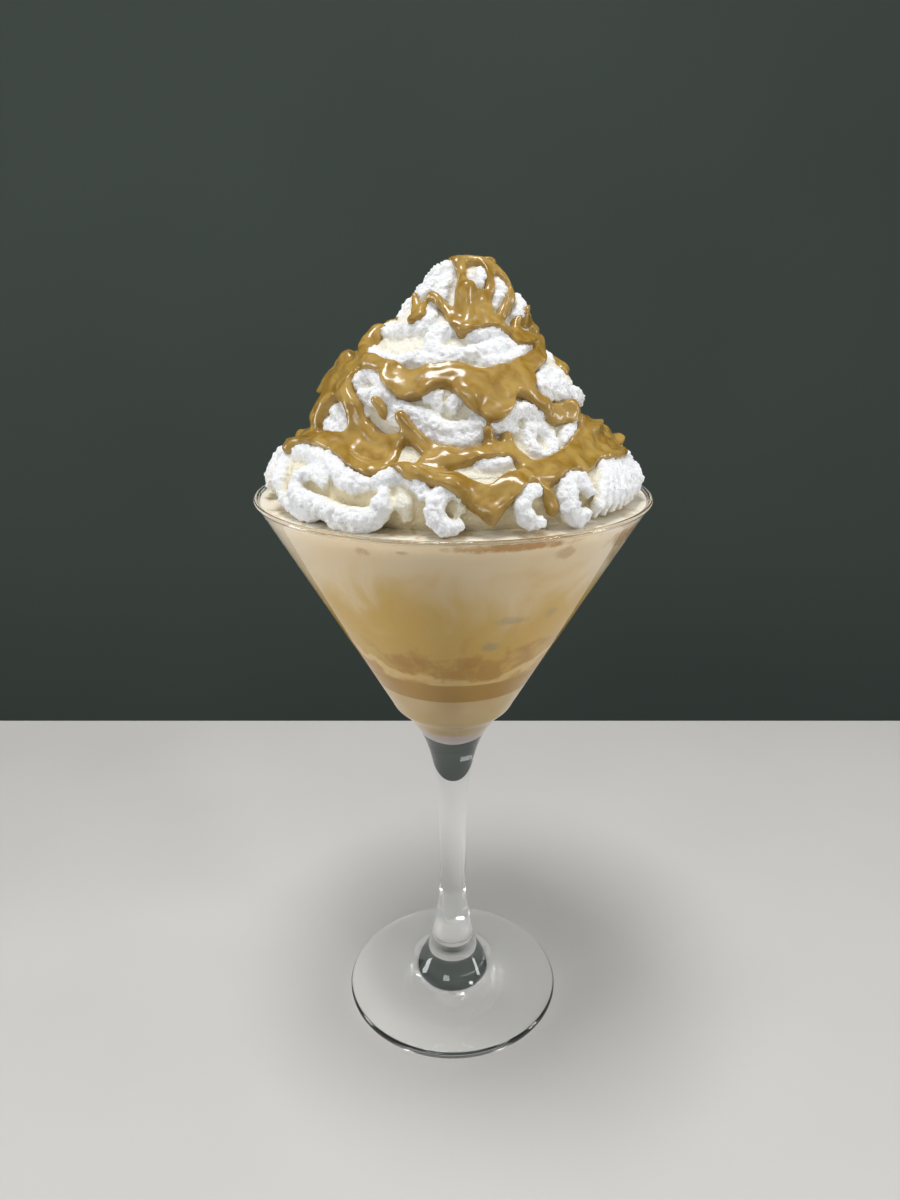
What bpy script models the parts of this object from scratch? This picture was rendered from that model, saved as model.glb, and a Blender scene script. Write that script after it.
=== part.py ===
"""An ice cream sundae in its stemmed cocktail glass.

The glass is filled to the rim with four layers. Whipped cream is piped over them in three ruffled rings and
a leaning peak, and thick caramel sauce runs round it. +Z is up, the origin is the middle of the foot's
underside, and the front faces -Y. Azimuths are in degrees from the front towards +X.
"""

import math
import random

import bmesh
import bpy
from mathutils import Vector

MM = 0.001
GAP = 0.3 * MM

# The glass
RIM_RADIUS = 57 * MM
RIM_HEIGHT = 178 * MM
NECK_RADIUS = 18.2 * MM
NECK_HEIGHT = 110.2 * MM
WALL = 1.3 * MM
FLOOR_HEIGHT = 98.5 * MM
FLOOR_TOP = 112 * MM
FLOOR_POWER = 0.6
STEM_RADIUS = 4.1 * MM
FLARE_LENGTH = 12.2 * MM
FLARE_STEPS = (3, 7, 11, 15, 20, 26, 34, 44)
FOOT_RADIUS = 36 * MM
FOOT_EDGE = 3.0 * MM
FOOT_PROFILE = ((4.4, 42), (5.6, 30), (7.2, 21), (9.8, 14), (13.5, 9), (19, 6), (27, 4.2))
BASE_RING_WIDTH = 4 * MM
KICK_HEIGHT = 1.0 * MM
SIDES = 36
ROUND_STEPS = 4

# The layers in the bowl, by the height of each one's top
LAYER_TOPS = (
    ("base_cream", 121 * MM),
    ("caramel_layer", 128 * MM),
    ("caramel_ice_cream", 161 * MM),
    ("vanilla_cream", 176.7 * MM),
)
LAYER_RINGS = 3

# The whipped cream's outline: height over the rim and radius, both in millimetres
CREAM_FOOT = -1.0
CREAM_OUTLINE = (
    (CREAM_FOOT, 52), (1.5, 54), (6, 54), (11, 50.5), (16, 43.5), (20, 39), (25, 37), (31, 35.5), (35, 31.5),
    (39, 26.5), (44, 22), (48, 19), (53, 15), (58, 11.5), (62, 8), (64, 4.5),
)
PEAK_TOP = 64.6
CORE_INSET = 3.6
UNDERCUT = 4.0
UNDERCUT_TOP = 10
CORE_SIDES = 28
LEAN_START = 36
LEAN_END = 58
LEAN = 4.6

# How strands are drawn: steps between two set places, and how far apart the rings of a tube lie
ROUTE_STEPS = 12
CURL_STEPS = 5
STRAND_SPACING = 3.0 * MM
STRAND_DEPTH = 2.7
STRAND_TIPS = (0.7, 0.7)
TUBE_RESOLUTION = 2
SKIN_VOXEL = 0.7 * MM
SKIN_TRIANGLES = 10200

# Each piped ring: its strands' radius, its curls' size, and where its hidden side starts and what it repeats
RINGS = {
    "lower": {"start": 96, "radius": 2.8, "curl": 4.0, "middle": 6.4, "high": 12.2, "low": 2.2, "step": 17},
    "middle": {"start": 112, "radius": 2.6, "curl": 4.3, "middle": 29, "high": 33.5, "low": 22.5, "step": 24},
    "upper": {"start": 106, "radius": 2.4, "curl": 3.6, "middle": 41, "high": 45, "low": 37.5, "step": 36},
}
CURL_THINNING = 0.92

# The hidden side: curls and swings of the nozzle by turns, between a crest over and a crest under them
HIDDEN_END = 262
CURL_SWEEP = 285
CURL_EARLIEST = -30
CURL_LATEST = 40
SWING_REACH = 0.45
UNEVEN_HEIGHT = 0.8
UNEVEN_STEP = 0.1
CREST_STEP = 12
CREST_OVERRUN = 6
CREST_WAVE = 1.2
CREST_WAVES = 7
CREST_UNEVEN = 0.5
CREST_LOWEST = 2.0
CREST_DROP = 0.6

# Curls that show in front: ring, azimuth, height, size and where round the curl it starts and ends
FRONT_CURLS = (
    ("lower", -1, 6.2, 4.0, 35, 318),
    ("lower", 22, 5.4, 3.6, 25, 300),
    ("lower", 37, 5.6, 4.0, -20, 295),
    ("middle", 35, 18.9, 3.6, -65, 265),
    ("middle", 4, 27.6, 2.8, -30, 215),
)

# Strands that show in front, as azimuth and height over the rim in millimetres
FRONT_STRANDS = {
    "lower": (
        ((-80, 2), (-86, 7.5), (-81, 12.3), (-62, 13.9), (-41, 12.8), (-29, 10.2), (-24, 10.6)),
        ((-76, 12.6), (-69, 9.8), (-60, 4)),
        ((-40, 8.6), (-48, 11.2), (-52, 7), (-42, 4.6), (-30, 3), (-21, 4), (-20, 10)),
        ((-25, 10), (-16, 12.7), (-9, 10.4), (-8, 8.2)),
        ((-62, 4), (-47, 2.1), (-41, 2.2)),
        ((-39, 2.2), (-21, 2.1)),
        ((-16, 9.5), (-14, 6.5), (-13, 2.5)),
        ((60, 12.6), (54, 9.6), (49, 5.4), (48, 2)),
        ((66, 12.6), (62, 9.6), (57, 5.4), (56, 2)),
        ((70, 12.2), (69, 9.2), (66, 5.4), (64, 2)),
        ((74, 11), (75, 6), (72, 2)),
        ((87, 8.6), (81, 5.4), (79, 1.8)),
    ),
    "middle": (
        ((-47, 29.5), (-27, 27.8), (-11, 24.7), (3, 22.4), (20, 25.9), (43, 25)),
        ((-31, 26.3), (-13, 21.9), (3, 19.8), (16, 23.2), (27, 22)),
        ((-47, 30.6), (-49, 33.4), (-34, 33), (-25, 28.6)),
        ((-11, 28.5), (-10.5, 31.4), (-7, 32.2)),
        ((66, 24), (54, 20.5), (46, 17.3)),
        ((-86, 29), (-71, 22.2), (-47, 19)),
        ((-74, 28), (-50, 22.4), (-43, 19.5)),
        ((-60, 28.5), (-38, 24.6)),
        ((66, 34), (51, 30.4), (56, 28.6), (86, 25.2)),
        ((-92, 33.6), (-84, 35.4), (-72, 35)),
        ((49, 37), (51, 34.2), (60, 28.8), (68, 26)),
    ),
    "upper": (
        ((-66, 44), (-86, 41), (-50, 37.6), (-13, 37.6), (34, 41.2)),
        ((-68, 43.8), (-41, 45.1), (-20, 45.6)),
        ((-2, 45.8), (-16, 42.6), (-3, 38.8), (18, 39.6), (41, 41.6)),
        ((-2, 45.2), (12, 43.9), (39, 43.3)),
        ((14, 38), (36, 38), (58, 40.6)),
        ((36, 38.7), (54, 40.2), (80, 41)),
    ),
    "peak": (
        ((-20, 58.6), (-60, 58.6), (-89, 57), (-89, 50.5)),
        ((-41, 58.6), (-35, 52.6), (-38, 49.6), (-50, 44.6)),
        ((20, 59), (13, 57.6), (8, 54.6)),
        ((48, 58), (42, 54), (30, 50)),
        ((88, 53), (66, 50), (50, 47.4)),
        ((112, 48), (130, 54), (140, 59)),
        ((196, 47), (182, 53), (166, 59)),
        ((236, 46), (222, 52), (214, 59)),
    ),
}
PEAK_STRAND_RADIUS = 2.4

# Sauce that shows in front: radius of the run, then azimuth and height along it
SAUCE_DEPTH = 0.2
SAUCE_RUNS = (
    (2.2, ((-20, 62.2), (9, 62.4), (35, 61.6), (57, 55.5), (37, 49))),
    (2.4, ((-22, 61.4), (-11, 54.9), (-4, 48.6))),
    (1.9, ((27, 60.2), (29, 54.9), (16, 51.2))),
    (2.7, ((-6, 48.8), (18, 49.6), (29, 48.4))),
    (2.1, ((29, 48.2), (35, 45.8), (51, 42))),
    (1.7, ((-72, 53), (-58, 51), (-44, 47))),
    (1.7, ((-39, 50), (-47, 52), (-26, 52), (-6, 48))),
    (2.5, ((50, 43.4), (66, 40.8), (56, 38.6), (36, 36.6))),
    (2.0, ((-90, 46), (-76, 41), (-60, 37.6))),
    (3.0, ((-84, 33.6), (-60, 31.8), (-54, 31))),
    (2.1, ((-56, 31.6), (-50, 29.6), (-45, 27.4))),
    (3.0, ((-76, 36), (-56, 33.8))),
    (2.3, ((-70, 29), (-75, 21.6), (-69, 18.2))),
    (2.1, ((-62, 36.2), (-32, 35.8))),
    (3.1, ((-28, 34.9), (-10, 35.2), (8, 35.4), (34, 34.6))),
    (3.0, ((3, 33.6), (13, 29), (19, 29.5), (22, 31.6))),
    (2.2, ((30, 34), (37, 28.9), (60, 25.6))),
    (1.5, ((-31, 27.5), (-29, 24.4))),
    (2.0, ((-20.5, 25.4), (-12.5, 20.4), (-2, 18))),
    (2.0, ((-43, 24.8), (-32, 21.3), (-21, 20.6))),
    (2.8, ((-40, 20.4), (-36, 18.2), (-28, 17.6), (-16, 17.6))),
    (2.3, ((-85, 15.2), (-51, 17.7), (-28, 14.2), (-15, 15.4), (-1, 16.6))),
    (2.6, ((-13, 14.4), (0, 12.8))),
    (2.2, ((-5, 18.2), (18, 19.3), (24, 15), (39, 15.5))),
    (2.4, ((-11, 13.9), (-1, 12.4), (6, 9.4), (10, 4.2))),
    (2.4, ((10, 5.6), (16, 10.8), (23, 13.5), (30, 11.6), (44, 12.2))),
    (2.6, ((2, 11.6), (9, 9.4), (15, 11.4))),
    (1.9, ((24, 12.4), (27, 7.4), (27, 4.6))),
    (2.5, ((34, 15.3), (50, 18.5), (62, 23.9))),
    (3.0, ((64, 25.6), (84, 22.4), (92, 16.6))),
    (3.0, ((60, 22.6), (82, 18.6), (76, 13.6))),
    (3.0, ((56, 17.4), (68, 19.6), (78, 19.8))),
    (2.2, ((46, 18), (60, 15.3), (94, 14.4))),
    (2.0, ((49, 17.4), (37, 12.6))),
)
SAUCE_TIP = 0.6

# Sauce on the hidden side: where each band starts, its height, wave and radius, and how far its drips fall
HIDDEN_SAUCE = (
    (84, 15.6, 1.6, 2.7, 9.0),
    (102, 35.2, 1.3, 2.5, 8.0),
    (66, 47.5, 2.4, 2.0, 5.0),
)
SAUCE_END = 292
SAUCE_STEP = 14
DRIP_STEP = 46
DRIP_RADIUS = 1.9
DRIP_STRAY = 8
DRIP_SHORTEST = 0.6
DRIP_PLACES = 3
DRIP_TIPS = (1.0, 0.8)

MERGE = 0.01 * MM
SEED = 7


def between(stations, at):
    """The value at one place on a line through (place, value) stations."""
    for (low, first), (high, second) in zip(stations, stations[1:]):
        if at <= high:
            share = max(0.0, (at - low) / (high - low))
            return first + (second - first) * share
    return stations[-1][1]


def cone_radius(height):
    """Outer radius of the bowl's straight side."""
    slope = (RIM_RADIUS - NECK_RADIUS) / (RIM_HEIGHT - NECK_HEIGHT)
    return NECK_RADIUS + slope * (height - NECK_HEIGHT)


def inner_radius(height):
    """Radius of the hollow in the bowl: straight, with a rounded floor."""
    slope = (RIM_RADIUS - NECK_RADIUS) / (RIM_HEIGHT - NECK_HEIGHT)
    wall_across = WALL * math.hypot(1, slope)
    if height >= FLOOR_TOP:
        return cone_radius(height) - wall_across
    share = max(0.0, (height - FLOOR_HEIGHT) / (FLOOR_TOP - FLOOR_HEIGHT))
    return (cone_radius(FLOOR_TOP) - wall_across) * share**FLOOR_POWER


def floor_heights(top):
    """Heights of the rings that round the hollow's floor, up to a given one."""
    steps = (0.0, 0.02, 0.08, 0.2, 0.4, 0.7, 1.0)
    heights = [FLOOR_HEIGHT + (FLOOR_TOP - FLOOR_HEIGHT) * step for step in steps]
    return [height for height in heights if height < top]


def material(name, colour, roughness, transmission=0.0):
    """A plain finish."""
    made = bpy.data.materials.new(name)
    made.use_nodes = True
    shader = made.node_tree.nodes["Principled BSDF"]
    shader.inputs["Base Color"].default_value = (*colour, 1.0)
    shader.inputs["Roughness"].default_value = roughness
    shader.inputs["Metallic"].default_value = 0.0
    shader.inputs["Transmission Weight"].default_value = transmission
    return made


def new_collection(name):
    made = bpy.data.collections.new(name)
    bpy.context.scene.collection.children.link(made)
    return made


def turned(name, profile, sides, collection):
    """A solid of revolution from (radius, height) points that run down its outer side."""
    mesh = bpy.data.meshes.new(name)
    edges = [(i, i + 1) for i in range(len(profile) - 1)]
    mesh.from_pydata([(radius, 0, height) for radius, height in profile], edges, [])
    solid = bpy.data.objects.new(name, mesh)
    collection.objects.link(solid)
    screw = solid.modifiers.new("Turn", "SCREW")
    screw.steps = sides
    screw.render_steps = sides
    screw.use_merge_vertices = True
    screw.merge_threshold = MERGE
    return solid


def make_glass(collection):
    """Bowl, stem and foot, one thickness of clear glass."""
    bead = WALL / 2
    profile = [(inner_radius(height), height) for height in floor_heights(FLOOR_TOP)]
    profile.append((inner_radius(FLOOR_TOP), FLOOR_TOP))
    bead_height = RIM_HEIGHT - bead
    for share in (0.33, 0.67):
        height = FLOOR_TOP + (bead_height - FLOOR_TOP) * share
        profile.append((inner_radius(height), height))
    middle = RIM_RADIUS - bead
    for step in range(ROUND_STEPS + 1):
        turn = math.pi * (1 - step / ROUND_STEPS)
        profile.append((middle + bead * math.cos(turn), bead_height + bead * math.sin(turn)))
    for share in (0.67, 0.33, 0.0):
        height = NECK_HEIGHT + (bead_height - NECK_HEIGHT) * share
        profile.append((cone_radius(height), height))
    for drop in FLARE_STEPS:
        flare = math.exp(-drop * MM / FLARE_LENGTH)
        radius = STEM_RADIUS + (NECK_RADIUS - STEM_RADIUS) * flare
        profile.append((radius, NECK_HEIGHT - drop * MM))
    profile += [(radius * MM, height * MM) for radius, height in FOOT_PROFILE]
    edge = FOOT_EDGE / 2
    for step in range(ROUND_STEPS + 1):
        turn = math.pi * (0.5 - step / ROUND_STEPS)
        profile.append((FOOT_RADIUS - edge + edge * math.cos(turn), edge + edge * math.sin(turn)))
    ring = FOOT_RADIUS - edge - BASE_RING_WIDTH
    profile += [(ring, 0), (ring - KICK_HEIGHT, KICK_HEIGHT), (0, KICK_HEIGHT)]
    glass = turned("glass", profile, SIDES, collection)
    glass.data.materials.append(material("glass", (0.9, 0.92, 0.92), 0.03, 0.95))


def make_layer(name, bottom, top, finish, collection):
    """One filling, a disc with the bowl's own slope."""
    heights = [height for height in floor_heights(top) if height > bottom]
    heights += [bottom + (top - bottom) * step / LAYER_RINGS for step in range(LAYER_RINGS + 1)]
    profile = [(0, top)]
    for height in sorted(set(heights), reverse=True):
        radius = inner_radius(height) - GAP
        if radius > GAP:
            profile.append((radius, height))
    profile.append((0, bottom))
    layer = turned(name, profile, SIDES, collection)
    layer.data.materials.append(finish)


def core_radius(height, radius):
    """Radius of the core under the strands, in millimetres; it draws in towards its foot."""
    return radius - CORE_INSET - UNDERCUT * max(0.0, min(1.0, 1 - height / UNDERCUT_TOP))


def lean(height):
    """How far the peak leans towards +X at a height, in millimetres."""
    share = min(1.0, max(0.0, (height - LEAN_START) / (LEAN_END - LEAN_START)))
    return LEAN * share * share * (3 - 2 * share)


def on_cream(azimuth, height, depth):
    """A point at a depth under the cream's outline, from degrees and millimetres."""
    radius = max(0.0, between(CREAM_OUTLINE, height) - depth)
    turn = math.radians(azimuth)
    across = lean(height) + radius * math.sin(turn)
    return Vector((across * MM, -radius * math.cos(turn) * MM, RIM_HEIGHT + height * MM))


def smooth_route(points, spacing):
    """Points an even distance apart on a smooth curve through the given ones."""
    ends = [points[0] * 2 - points[1], *points, points[-1] * 2 - points[-2]]
    fine = []
    for a, b, c, d in zip(ends, ends[1:], ends[2:], ends[3:]):
        for step in range(ROUTE_STEPS):
            t = step / ROUTE_STEPS
            bend = (a * 2 - b * 5 + c * 4 - d) * t * t + (b * 3 - a - c * 3 + d) * t**3
            fine.append((b * 2 + (c - a) * t + bend) / 2)
    fine.append(points[-1])
    length = sum((q - p).length for p, q in zip(fine, fine[1:]))
    count = max(2, round(length / spacing))
    route = [fine[0]]
    walked = 0.0
    for p, q in zip(fine, fine[1:]):
        walked += (q - p).length
        if walked >= length * len(route) / count and len(route) < count:
            route.append(q)
    return [*route, fine[-1]]


def add_strand(points, radius, tips, collection):
    """A tube along a smooth route, thinner at its two tips."""
    route = smooth_route(points, STRAND_SPACING)
    curve = bpy.data.curves.new("strand", "CURVE")
    curve.dimensions = "3D"
    curve.bevel_depth = radius * MM
    curve.bevel_resolution = TUBE_RESOLUTION
    curve.use_fill_caps = True
    spline = curve.splines.new("POLY")
    spline.points.add(len(route) - 1)
    for point, place in zip(spline.points, route):
        point.co = (*place, 1.0)
    spline.points[0].radius = tips[0]
    spline.points[-1].radius = tips[1]
    tube = bpy.data.objects.new("strand", curve)
    collection.objects.link(tube)
    graph = bpy.context.evaluated_depsgraph_get()
    mesh = bpy.data.meshes.new_from_object(tube.evaluated_get(graph))
    solid = bpy.data.objects.new("strand", mesh)
    solid.matrix_world = tube.matrix_world
    bpy.data.objects.remove(tube)
    collection.objects.link(solid)
    shape = bmesh.new()
    shape.from_mesh(mesh)
    bmesh.ops.remove_doubles(shape, verts=shape.verts, dist=MERGE)
    bmesh.ops.recalc_face_normals(shape, faces=shape.faces)
    shape.to_mesh(mesh)
    shape.free()


def curl_points(azimuth, height, size, start, end):
    """An open ring of cream that faces outwards, from a start to an end angle."""
    points = []
    around = math.radians(1) * between(CREAM_OUTLINE, height)
    for step in range(CURL_STEPS + 1):
        turn = math.radians(start + (end - start) * step / CURL_STEPS)
        place = height + size * math.sin(turn)
        points.append(on_cream(azimuth + size * math.cos(turn) / around, place, STRAND_DEPTH))
    return points


def pipe_front(pieces):
    """Strands and curls on the side that faces the table."""
    for ring, azimuth, height, size, start, end in FRONT_CURLS:
        points = curl_points(azimuth, height, size, start, end)
        add_strand(points, RINGS[ring]["radius"] * CURL_THINNING, STRAND_TIPS, pieces)
    for ring, strands in FRONT_STRANDS.items():
        radius = RINGS[ring]["radius"] if ring in RINGS else PEAK_STRAND_RADIUS
        for strand in strands:
            points = [on_cream(azimuth, height, STRAND_DEPTH) for azimuth, height in strand]
            add_strand(points, radius, STRAND_TIPS, pieces)


def swing_points(azimuth, middle, ring):
    """One swing of the nozzle from a ring's upper crest down to its lower one."""
    reach = SWING_REACH * ring["step"]
    stops = (
        (-reach, ring["high"] - 1),
        (-0.3 * reach, middle + 1),
        (0.4 * reach, middle - 2),
        (reach, ring["low"]),
    )
    return [on_cream(azimuth + shift, height, STRAND_DEPTH) for shift, height in stops]


def crest_points(level, start, draw):
    """A wavy level line round the hidden side."""
    points = []
    for azimuth in range(start - CREST_OVERRUN, HIDDEN_END + CREST_OVERRUN, CREST_STEP):
        wave = CREST_WAVE * math.sin(math.radians(azimuth * CREST_WAVES))
        wave += draw.uniform(-CREST_UNEVEN, CREST_UNEVEN)
        points.append(on_cream(azimuth, max(CREST_LOWEST, level + wave), STRAND_DEPTH))
    return points


def pipe_hidden(pieces, draw):
    """The same rings round the back: curls and swings of the nozzle by turns."""
    for ring in RINGS.values():
        azimuth = ring["start"]
        turn = 0
        while azimuth < HIDDEN_END:
            middle = ring["middle"] + draw.uniform(-UNEVEN_HEIGHT, UNEVEN_HEIGHT)
            if turn % 2:
                start = draw.uniform(CURL_EARLIEST, CURL_LATEST)
                points = curl_points(azimuth, middle, ring["curl"], start, start + CURL_SWEEP)
            else:
                points = swing_points(azimuth, middle, ring)
            add_strand(points, ring["radius"] * CURL_THINNING, STRAND_TIPS, pieces)
            azimuth += ring["step"] * draw.uniform(1 - UNEVEN_STEP, 1 + UNEVEN_STEP)
            turn += 1
        for level in (ring["high"], ring["low"] - CREST_DROP * ring["radius"]):
            crest = crest_points(level, ring["start"], draw)
            add_strand(crest, ring["radius"], STRAND_TIPS, pieces)


def pour_sauce(pieces, draw):
    """Thick runs of sauce over the cream, with drips."""
    tips = (SAUCE_TIP, SAUCE_TIP)
    for radius, run in SAUCE_RUNS:
        points = [on_cream(azimuth, height, SAUCE_DEPTH) for azimuth, height in run]
        add_strand(points, radius, tips, pieces)
    for start, height, wave, radius, drop in HIDDEN_SAUCE:
        band = []
        for azimuth in range(start, SAUCE_END, SAUCE_STEP):
            band.append(on_cream(azimuth, height + draw.uniform(-wave, wave), SAUCE_DEPTH))
        add_strand(band, radius, tips, pieces)
        for azimuth in range(start + DRIP_STEP // 2, SAUCE_END - DRIP_STEP // 2, DRIP_STEP):
            side = azimuth + draw.uniform(-DRIP_STRAY, DRIP_STRAY)
            fall = drop * draw.uniform(DRIP_SHORTEST, 1.0) / (DRIP_PLACES - 1)
            drip = [on_cream(side, height - fall * step, SAUCE_DEPTH) for step in range(DRIP_PLACES)]
            add_strand(drip, DRIP_RADIUS, DRIP_TIPS, pieces)


def keep_outer_shell(mesh):
    """Fills sealed hollows and drops loose scraps, so that one closed body is left."""
    shape = bmesh.new()
    shape.from_mesh(mesh)
    bmesh.ops.remove_doubles(shape, verts=shape.verts, dist=MERGE)
    unseen = set(shape.verts)
    shells = []
    while unseen:
        shell = {unseen.pop()}
        waiting = list(shell)
        while waiting:
            for edge in waiting.pop().link_edges:
                for vert in edge.verts:
                    if vert in unseen:
                        unseen.remove(vert)
                        shell.add(vert)
                        waiting.append(vert)
        shells.append(shell)
    shells.sort(key=len)
    scraps = [vert for shell in shells[:-1] for vert in shell]
    bmesh.ops.delete(shape, geom=scraps, context="VERTS")
    shape.to_mesh(mesh)
    shape.free()


def skin_over(cream):
    """One even skin in place of the many small faces where strands cross."""
    remesh = cream.modifiers.new("Skin", "REMESH")
    remesh.mode = "VOXEL"
    remesh.voxel_size = SKIN_VOXEL
    bpy.ops.object.modifier_apply(modifier="Skin")
    cream.data.calc_loop_triangles()
    thin = cream.modifiers.new("Thin", "DECIMATE")
    thin.ratio = SKIN_TRIANGLES / len(cream.data.loop_triangles)
    thin.use_collapse_triangulate = True
    bpy.ops.object.modifier_apply(modifier="Thin")


def make_whipped_cream(collection):
    """The core, with every strand and run of sauce fused to it."""
    profile = [(0, RIM_HEIGHT + (PEAK_TOP - CORE_INSET) * MM)]
    for height, radius in reversed(CREAM_OUTLINE):
        if height < PEAK_TOP - CORE_INSET and height > CREAM_FOOT:
            profile.append((core_radius(height, radius) * MM, RIM_HEIGHT + height * MM))
    foot_radius = core_radius(CREAM_FOOT, CREAM_OUTLINE[0][1]) * MM
    foot_height = RIM_HEIGHT + CREAM_FOOT * MM
    profile += [(foot_radius, foot_height), (0, foot_height)]
    cream = turned("whipped_cream", profile, CORE_SIDES, collection)
    bpy.context.view_layer.objects.active = cream
    bpy.ops.object.modifier_apply(modifier="Turn")
    for vertex in cream.data.vertices:
        vertex.co.x += lean((vertex.co.z - RIM_HEIGHT) / MM) * MM
    pieces = new_collection("strands and sauce")
    draw = random.Random(SEED)
    pipe_front(pieces)
    pipe_hidden(pieces, draw)
    pour_sauce(pieces, draw)
    union = cream.modifiers.new("Fuse", "BOOLEAN")
    union.operation = "UNION"
    union.operand_type = "COLLECTION"
    union.collection = pieces
    union.solver = "MANIFOLD"
    bpy.ops.object.modifier_apply(modifier="Fuse")
    for piece in list(pieces.objects):
        bpy.data.objects.remove(piece)
    bpy.data.collections.remove(pieces)
    keep_outer_shell(cream.data)
    skin_over(cream)
    cream.data.materials.clear()
    cream.data.materials.append(material("whipped cream", (0.86, 0.85, 0.81), 0.6))


def main():
    for found in list(bpy.data.objects):
        bpy.data.objects.remove(found)
    sundae = new_collection("ice cream sundae")
    make_glass(sundae)
    finishes = {
        "base_cream": material("base cream", (0.62, 0.52, 0.36), 0.4),
        "caramel_layer": material("caramel", (0.45, 0.27, 0.09), 0.3),
        "caramel_ice_cream": material("caramel ice cream", (0.52, 0.38, 0.17), 0.4),
        "vanilla_cream": material("vanilla cream", (0.78, 0.72, 0.6), 0.45),
    }
    bottom = FLOOR_HEIGHT + GAP
    for name, top in LAYER_TOPS:
        make_layer(name, bottom, top, finishes[name], sundae)
        bottom = top + GAP
    make_whipped_cream(sundae)
    for solid in sundae.objects:
        solid.data.shade_smooth()


main()
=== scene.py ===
"""The looks of an ice cream sundae in its stemmed cocktail glass.

Lengths are in metres, apart from those of the whipped cream, of its sauce and of the marks behind the bowl's
wall, which are in millimetres. A place on the cream is an azimuth in degrees, from the front towards +X, and
a height over the rim.
"""

import logging
import math
from dataclasses import dataclass, field
from enum import Enum

import bpy
import numpy as np
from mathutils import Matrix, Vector
from mathutils.bvhtree import BVHTree


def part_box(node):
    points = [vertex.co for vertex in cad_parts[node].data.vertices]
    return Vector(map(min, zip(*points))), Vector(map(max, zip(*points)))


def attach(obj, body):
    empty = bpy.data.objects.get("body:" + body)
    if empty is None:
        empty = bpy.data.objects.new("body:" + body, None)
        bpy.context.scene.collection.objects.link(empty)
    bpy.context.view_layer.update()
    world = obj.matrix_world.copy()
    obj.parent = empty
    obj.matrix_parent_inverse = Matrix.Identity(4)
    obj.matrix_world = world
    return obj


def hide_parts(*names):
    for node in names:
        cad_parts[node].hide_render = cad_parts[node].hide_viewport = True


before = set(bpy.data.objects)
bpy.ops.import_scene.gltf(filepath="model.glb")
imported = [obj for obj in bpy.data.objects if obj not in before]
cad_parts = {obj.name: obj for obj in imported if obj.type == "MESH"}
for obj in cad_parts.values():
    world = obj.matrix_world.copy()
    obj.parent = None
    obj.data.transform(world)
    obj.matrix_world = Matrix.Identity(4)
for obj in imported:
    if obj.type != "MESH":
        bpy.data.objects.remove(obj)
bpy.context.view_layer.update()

ROOT = "root"
MM = 0.001
RIM_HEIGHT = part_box("glass")[1][2]
RIM_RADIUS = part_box("glass")[1][0]
SRGB_KNEE = 0.04045
SRGB_SLOPE = 12.92
SRGB_OFFSET = 0.055
SRGB_POWER = 2.4
WELD_DISTANCE = 0.005 * MM
SHARP_ANGLE = 50
MOST_TRIANGLES = 190_000
BLOTCH_GRAIN = 5 * MM
BLOTCH_RAGGEDNESS = 4.5
BLOTCH_EDGE = 1.4
BLOTCH_CORE = -0.2
CURL_STEPS = 7
FAN_RIBS = 9

log = logging.getLogger("sundae")


class Slot(Enum):
    """The record's material slots."""

    GLASS = "glass"
    PALE_CREAM = "pale_cream"
    CARAMEL = "caramel"
    CARAMEL_ICE_CREAM = "caramel_ice_cream"
    VANILLA_CREAM = "vanilla_cream"
    WHIPPED_CREAM = "whipped_cream"


def tint(red: float, green: float, blue: float) -> tuple[float, float, float, float]:
    """Turns a screen colour of 0 to 255 into the linear colour that a shader takes.

    Args:
        red: The red channel.
        green: The green channel.
        blue: The blue channel.

    Returns:
        The linear colour with full alpha.
    """
    linear = []
    for channel in (red, green, blue):
        share = channel / 255
        if share <= SRGB_KNEE:
            linear.append(share / SRGB_SLOPE)
        else:
            linear.append(((share + SRGB_OFFSET) / (1 + SRGB_OFFSET)) ** SRGB_POWER)
    return (*linear, 1.0)


def deselect() -> None:
    """Leaves nothing selected and no edit mode open."""
    if bpy.context.object and bpy.context.object.mode != "OBJECT":
        bpy.ops.object.mode_set(mode="OBJECT")
    bpy.ops.object.select_all(action="DESELECT")


def make_active(piece: bpy.types.Object) -> None:
    """Selects one piece alone and makes it the active one."""
    deselect()
    piece.select_set(True)
    bpy.context.view_layer.objects.active = piece


def apply_all(piece: bpy.types.Object) -> None:
    """Applies every modifier of a piece in order."""
    make_active(piece)
    for modifier in list(piece.modifiers):
        bpy.ops.object.modifier_apply(modifier=modifier.name)


def thin(piece: bpy.types.Object, most: int = MOST_TRIANGLES) -> None:
    """Collapses a piece's flattest edges until it holds no more triangles than asked."""
    piece.data.calc_loop_triangles()
    count = len(piece.data.loop_triangles)
    if count > most:
        fewer = piece.modifiers.new("fewer", "DECIMATE")
        fewer.ratio = most / count
        apply_all(piece)


def reskin(piece: bpy.types.Object, voxel: float, rounds: int) -> None:
    """Gives a piece one closed skin over all its solids and softens it.

    Args:
        piece: The piece.
        voxel: The size of the skin's cells.
        rounds: How often the skin is smoothed.
    """
    skin = piece.modifiers.new("skin", "REMESH")
    skin.mode = "VOXEL"
    skin.voxel_size = voxel
    soft = piece.modifiers.new("soft", "SMOOTH")
    soft.factor = 0.5
    soft.iterations = rounds
    apply_all(piece)


def smooth_faces(piece: bpy.types.Object) -> None:
    """Thins a piece and shades its faces smooth."""
    thin(piece)
    make_active(piece)
    bpy.ops.object.shade_smooth()


def coordinates(mesh: bpy.types.Mesh) -> np.ndarray:
    """The places of a mesh's points, one row each."""
    flat = np.empty(len(mesh.vertices) * 3)
    mesh.vertices.foreach_get("co", flat)
    return flat.reshape(-1, 3)


def place_points(mesh: bpy.types.Mesh, points: np.ndarray) -> None:
    """Moves a mesh's points to the given rows."""
    mesh.vertices.foreach_set("co", points.reshape(-1))
    mesh.update()


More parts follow.
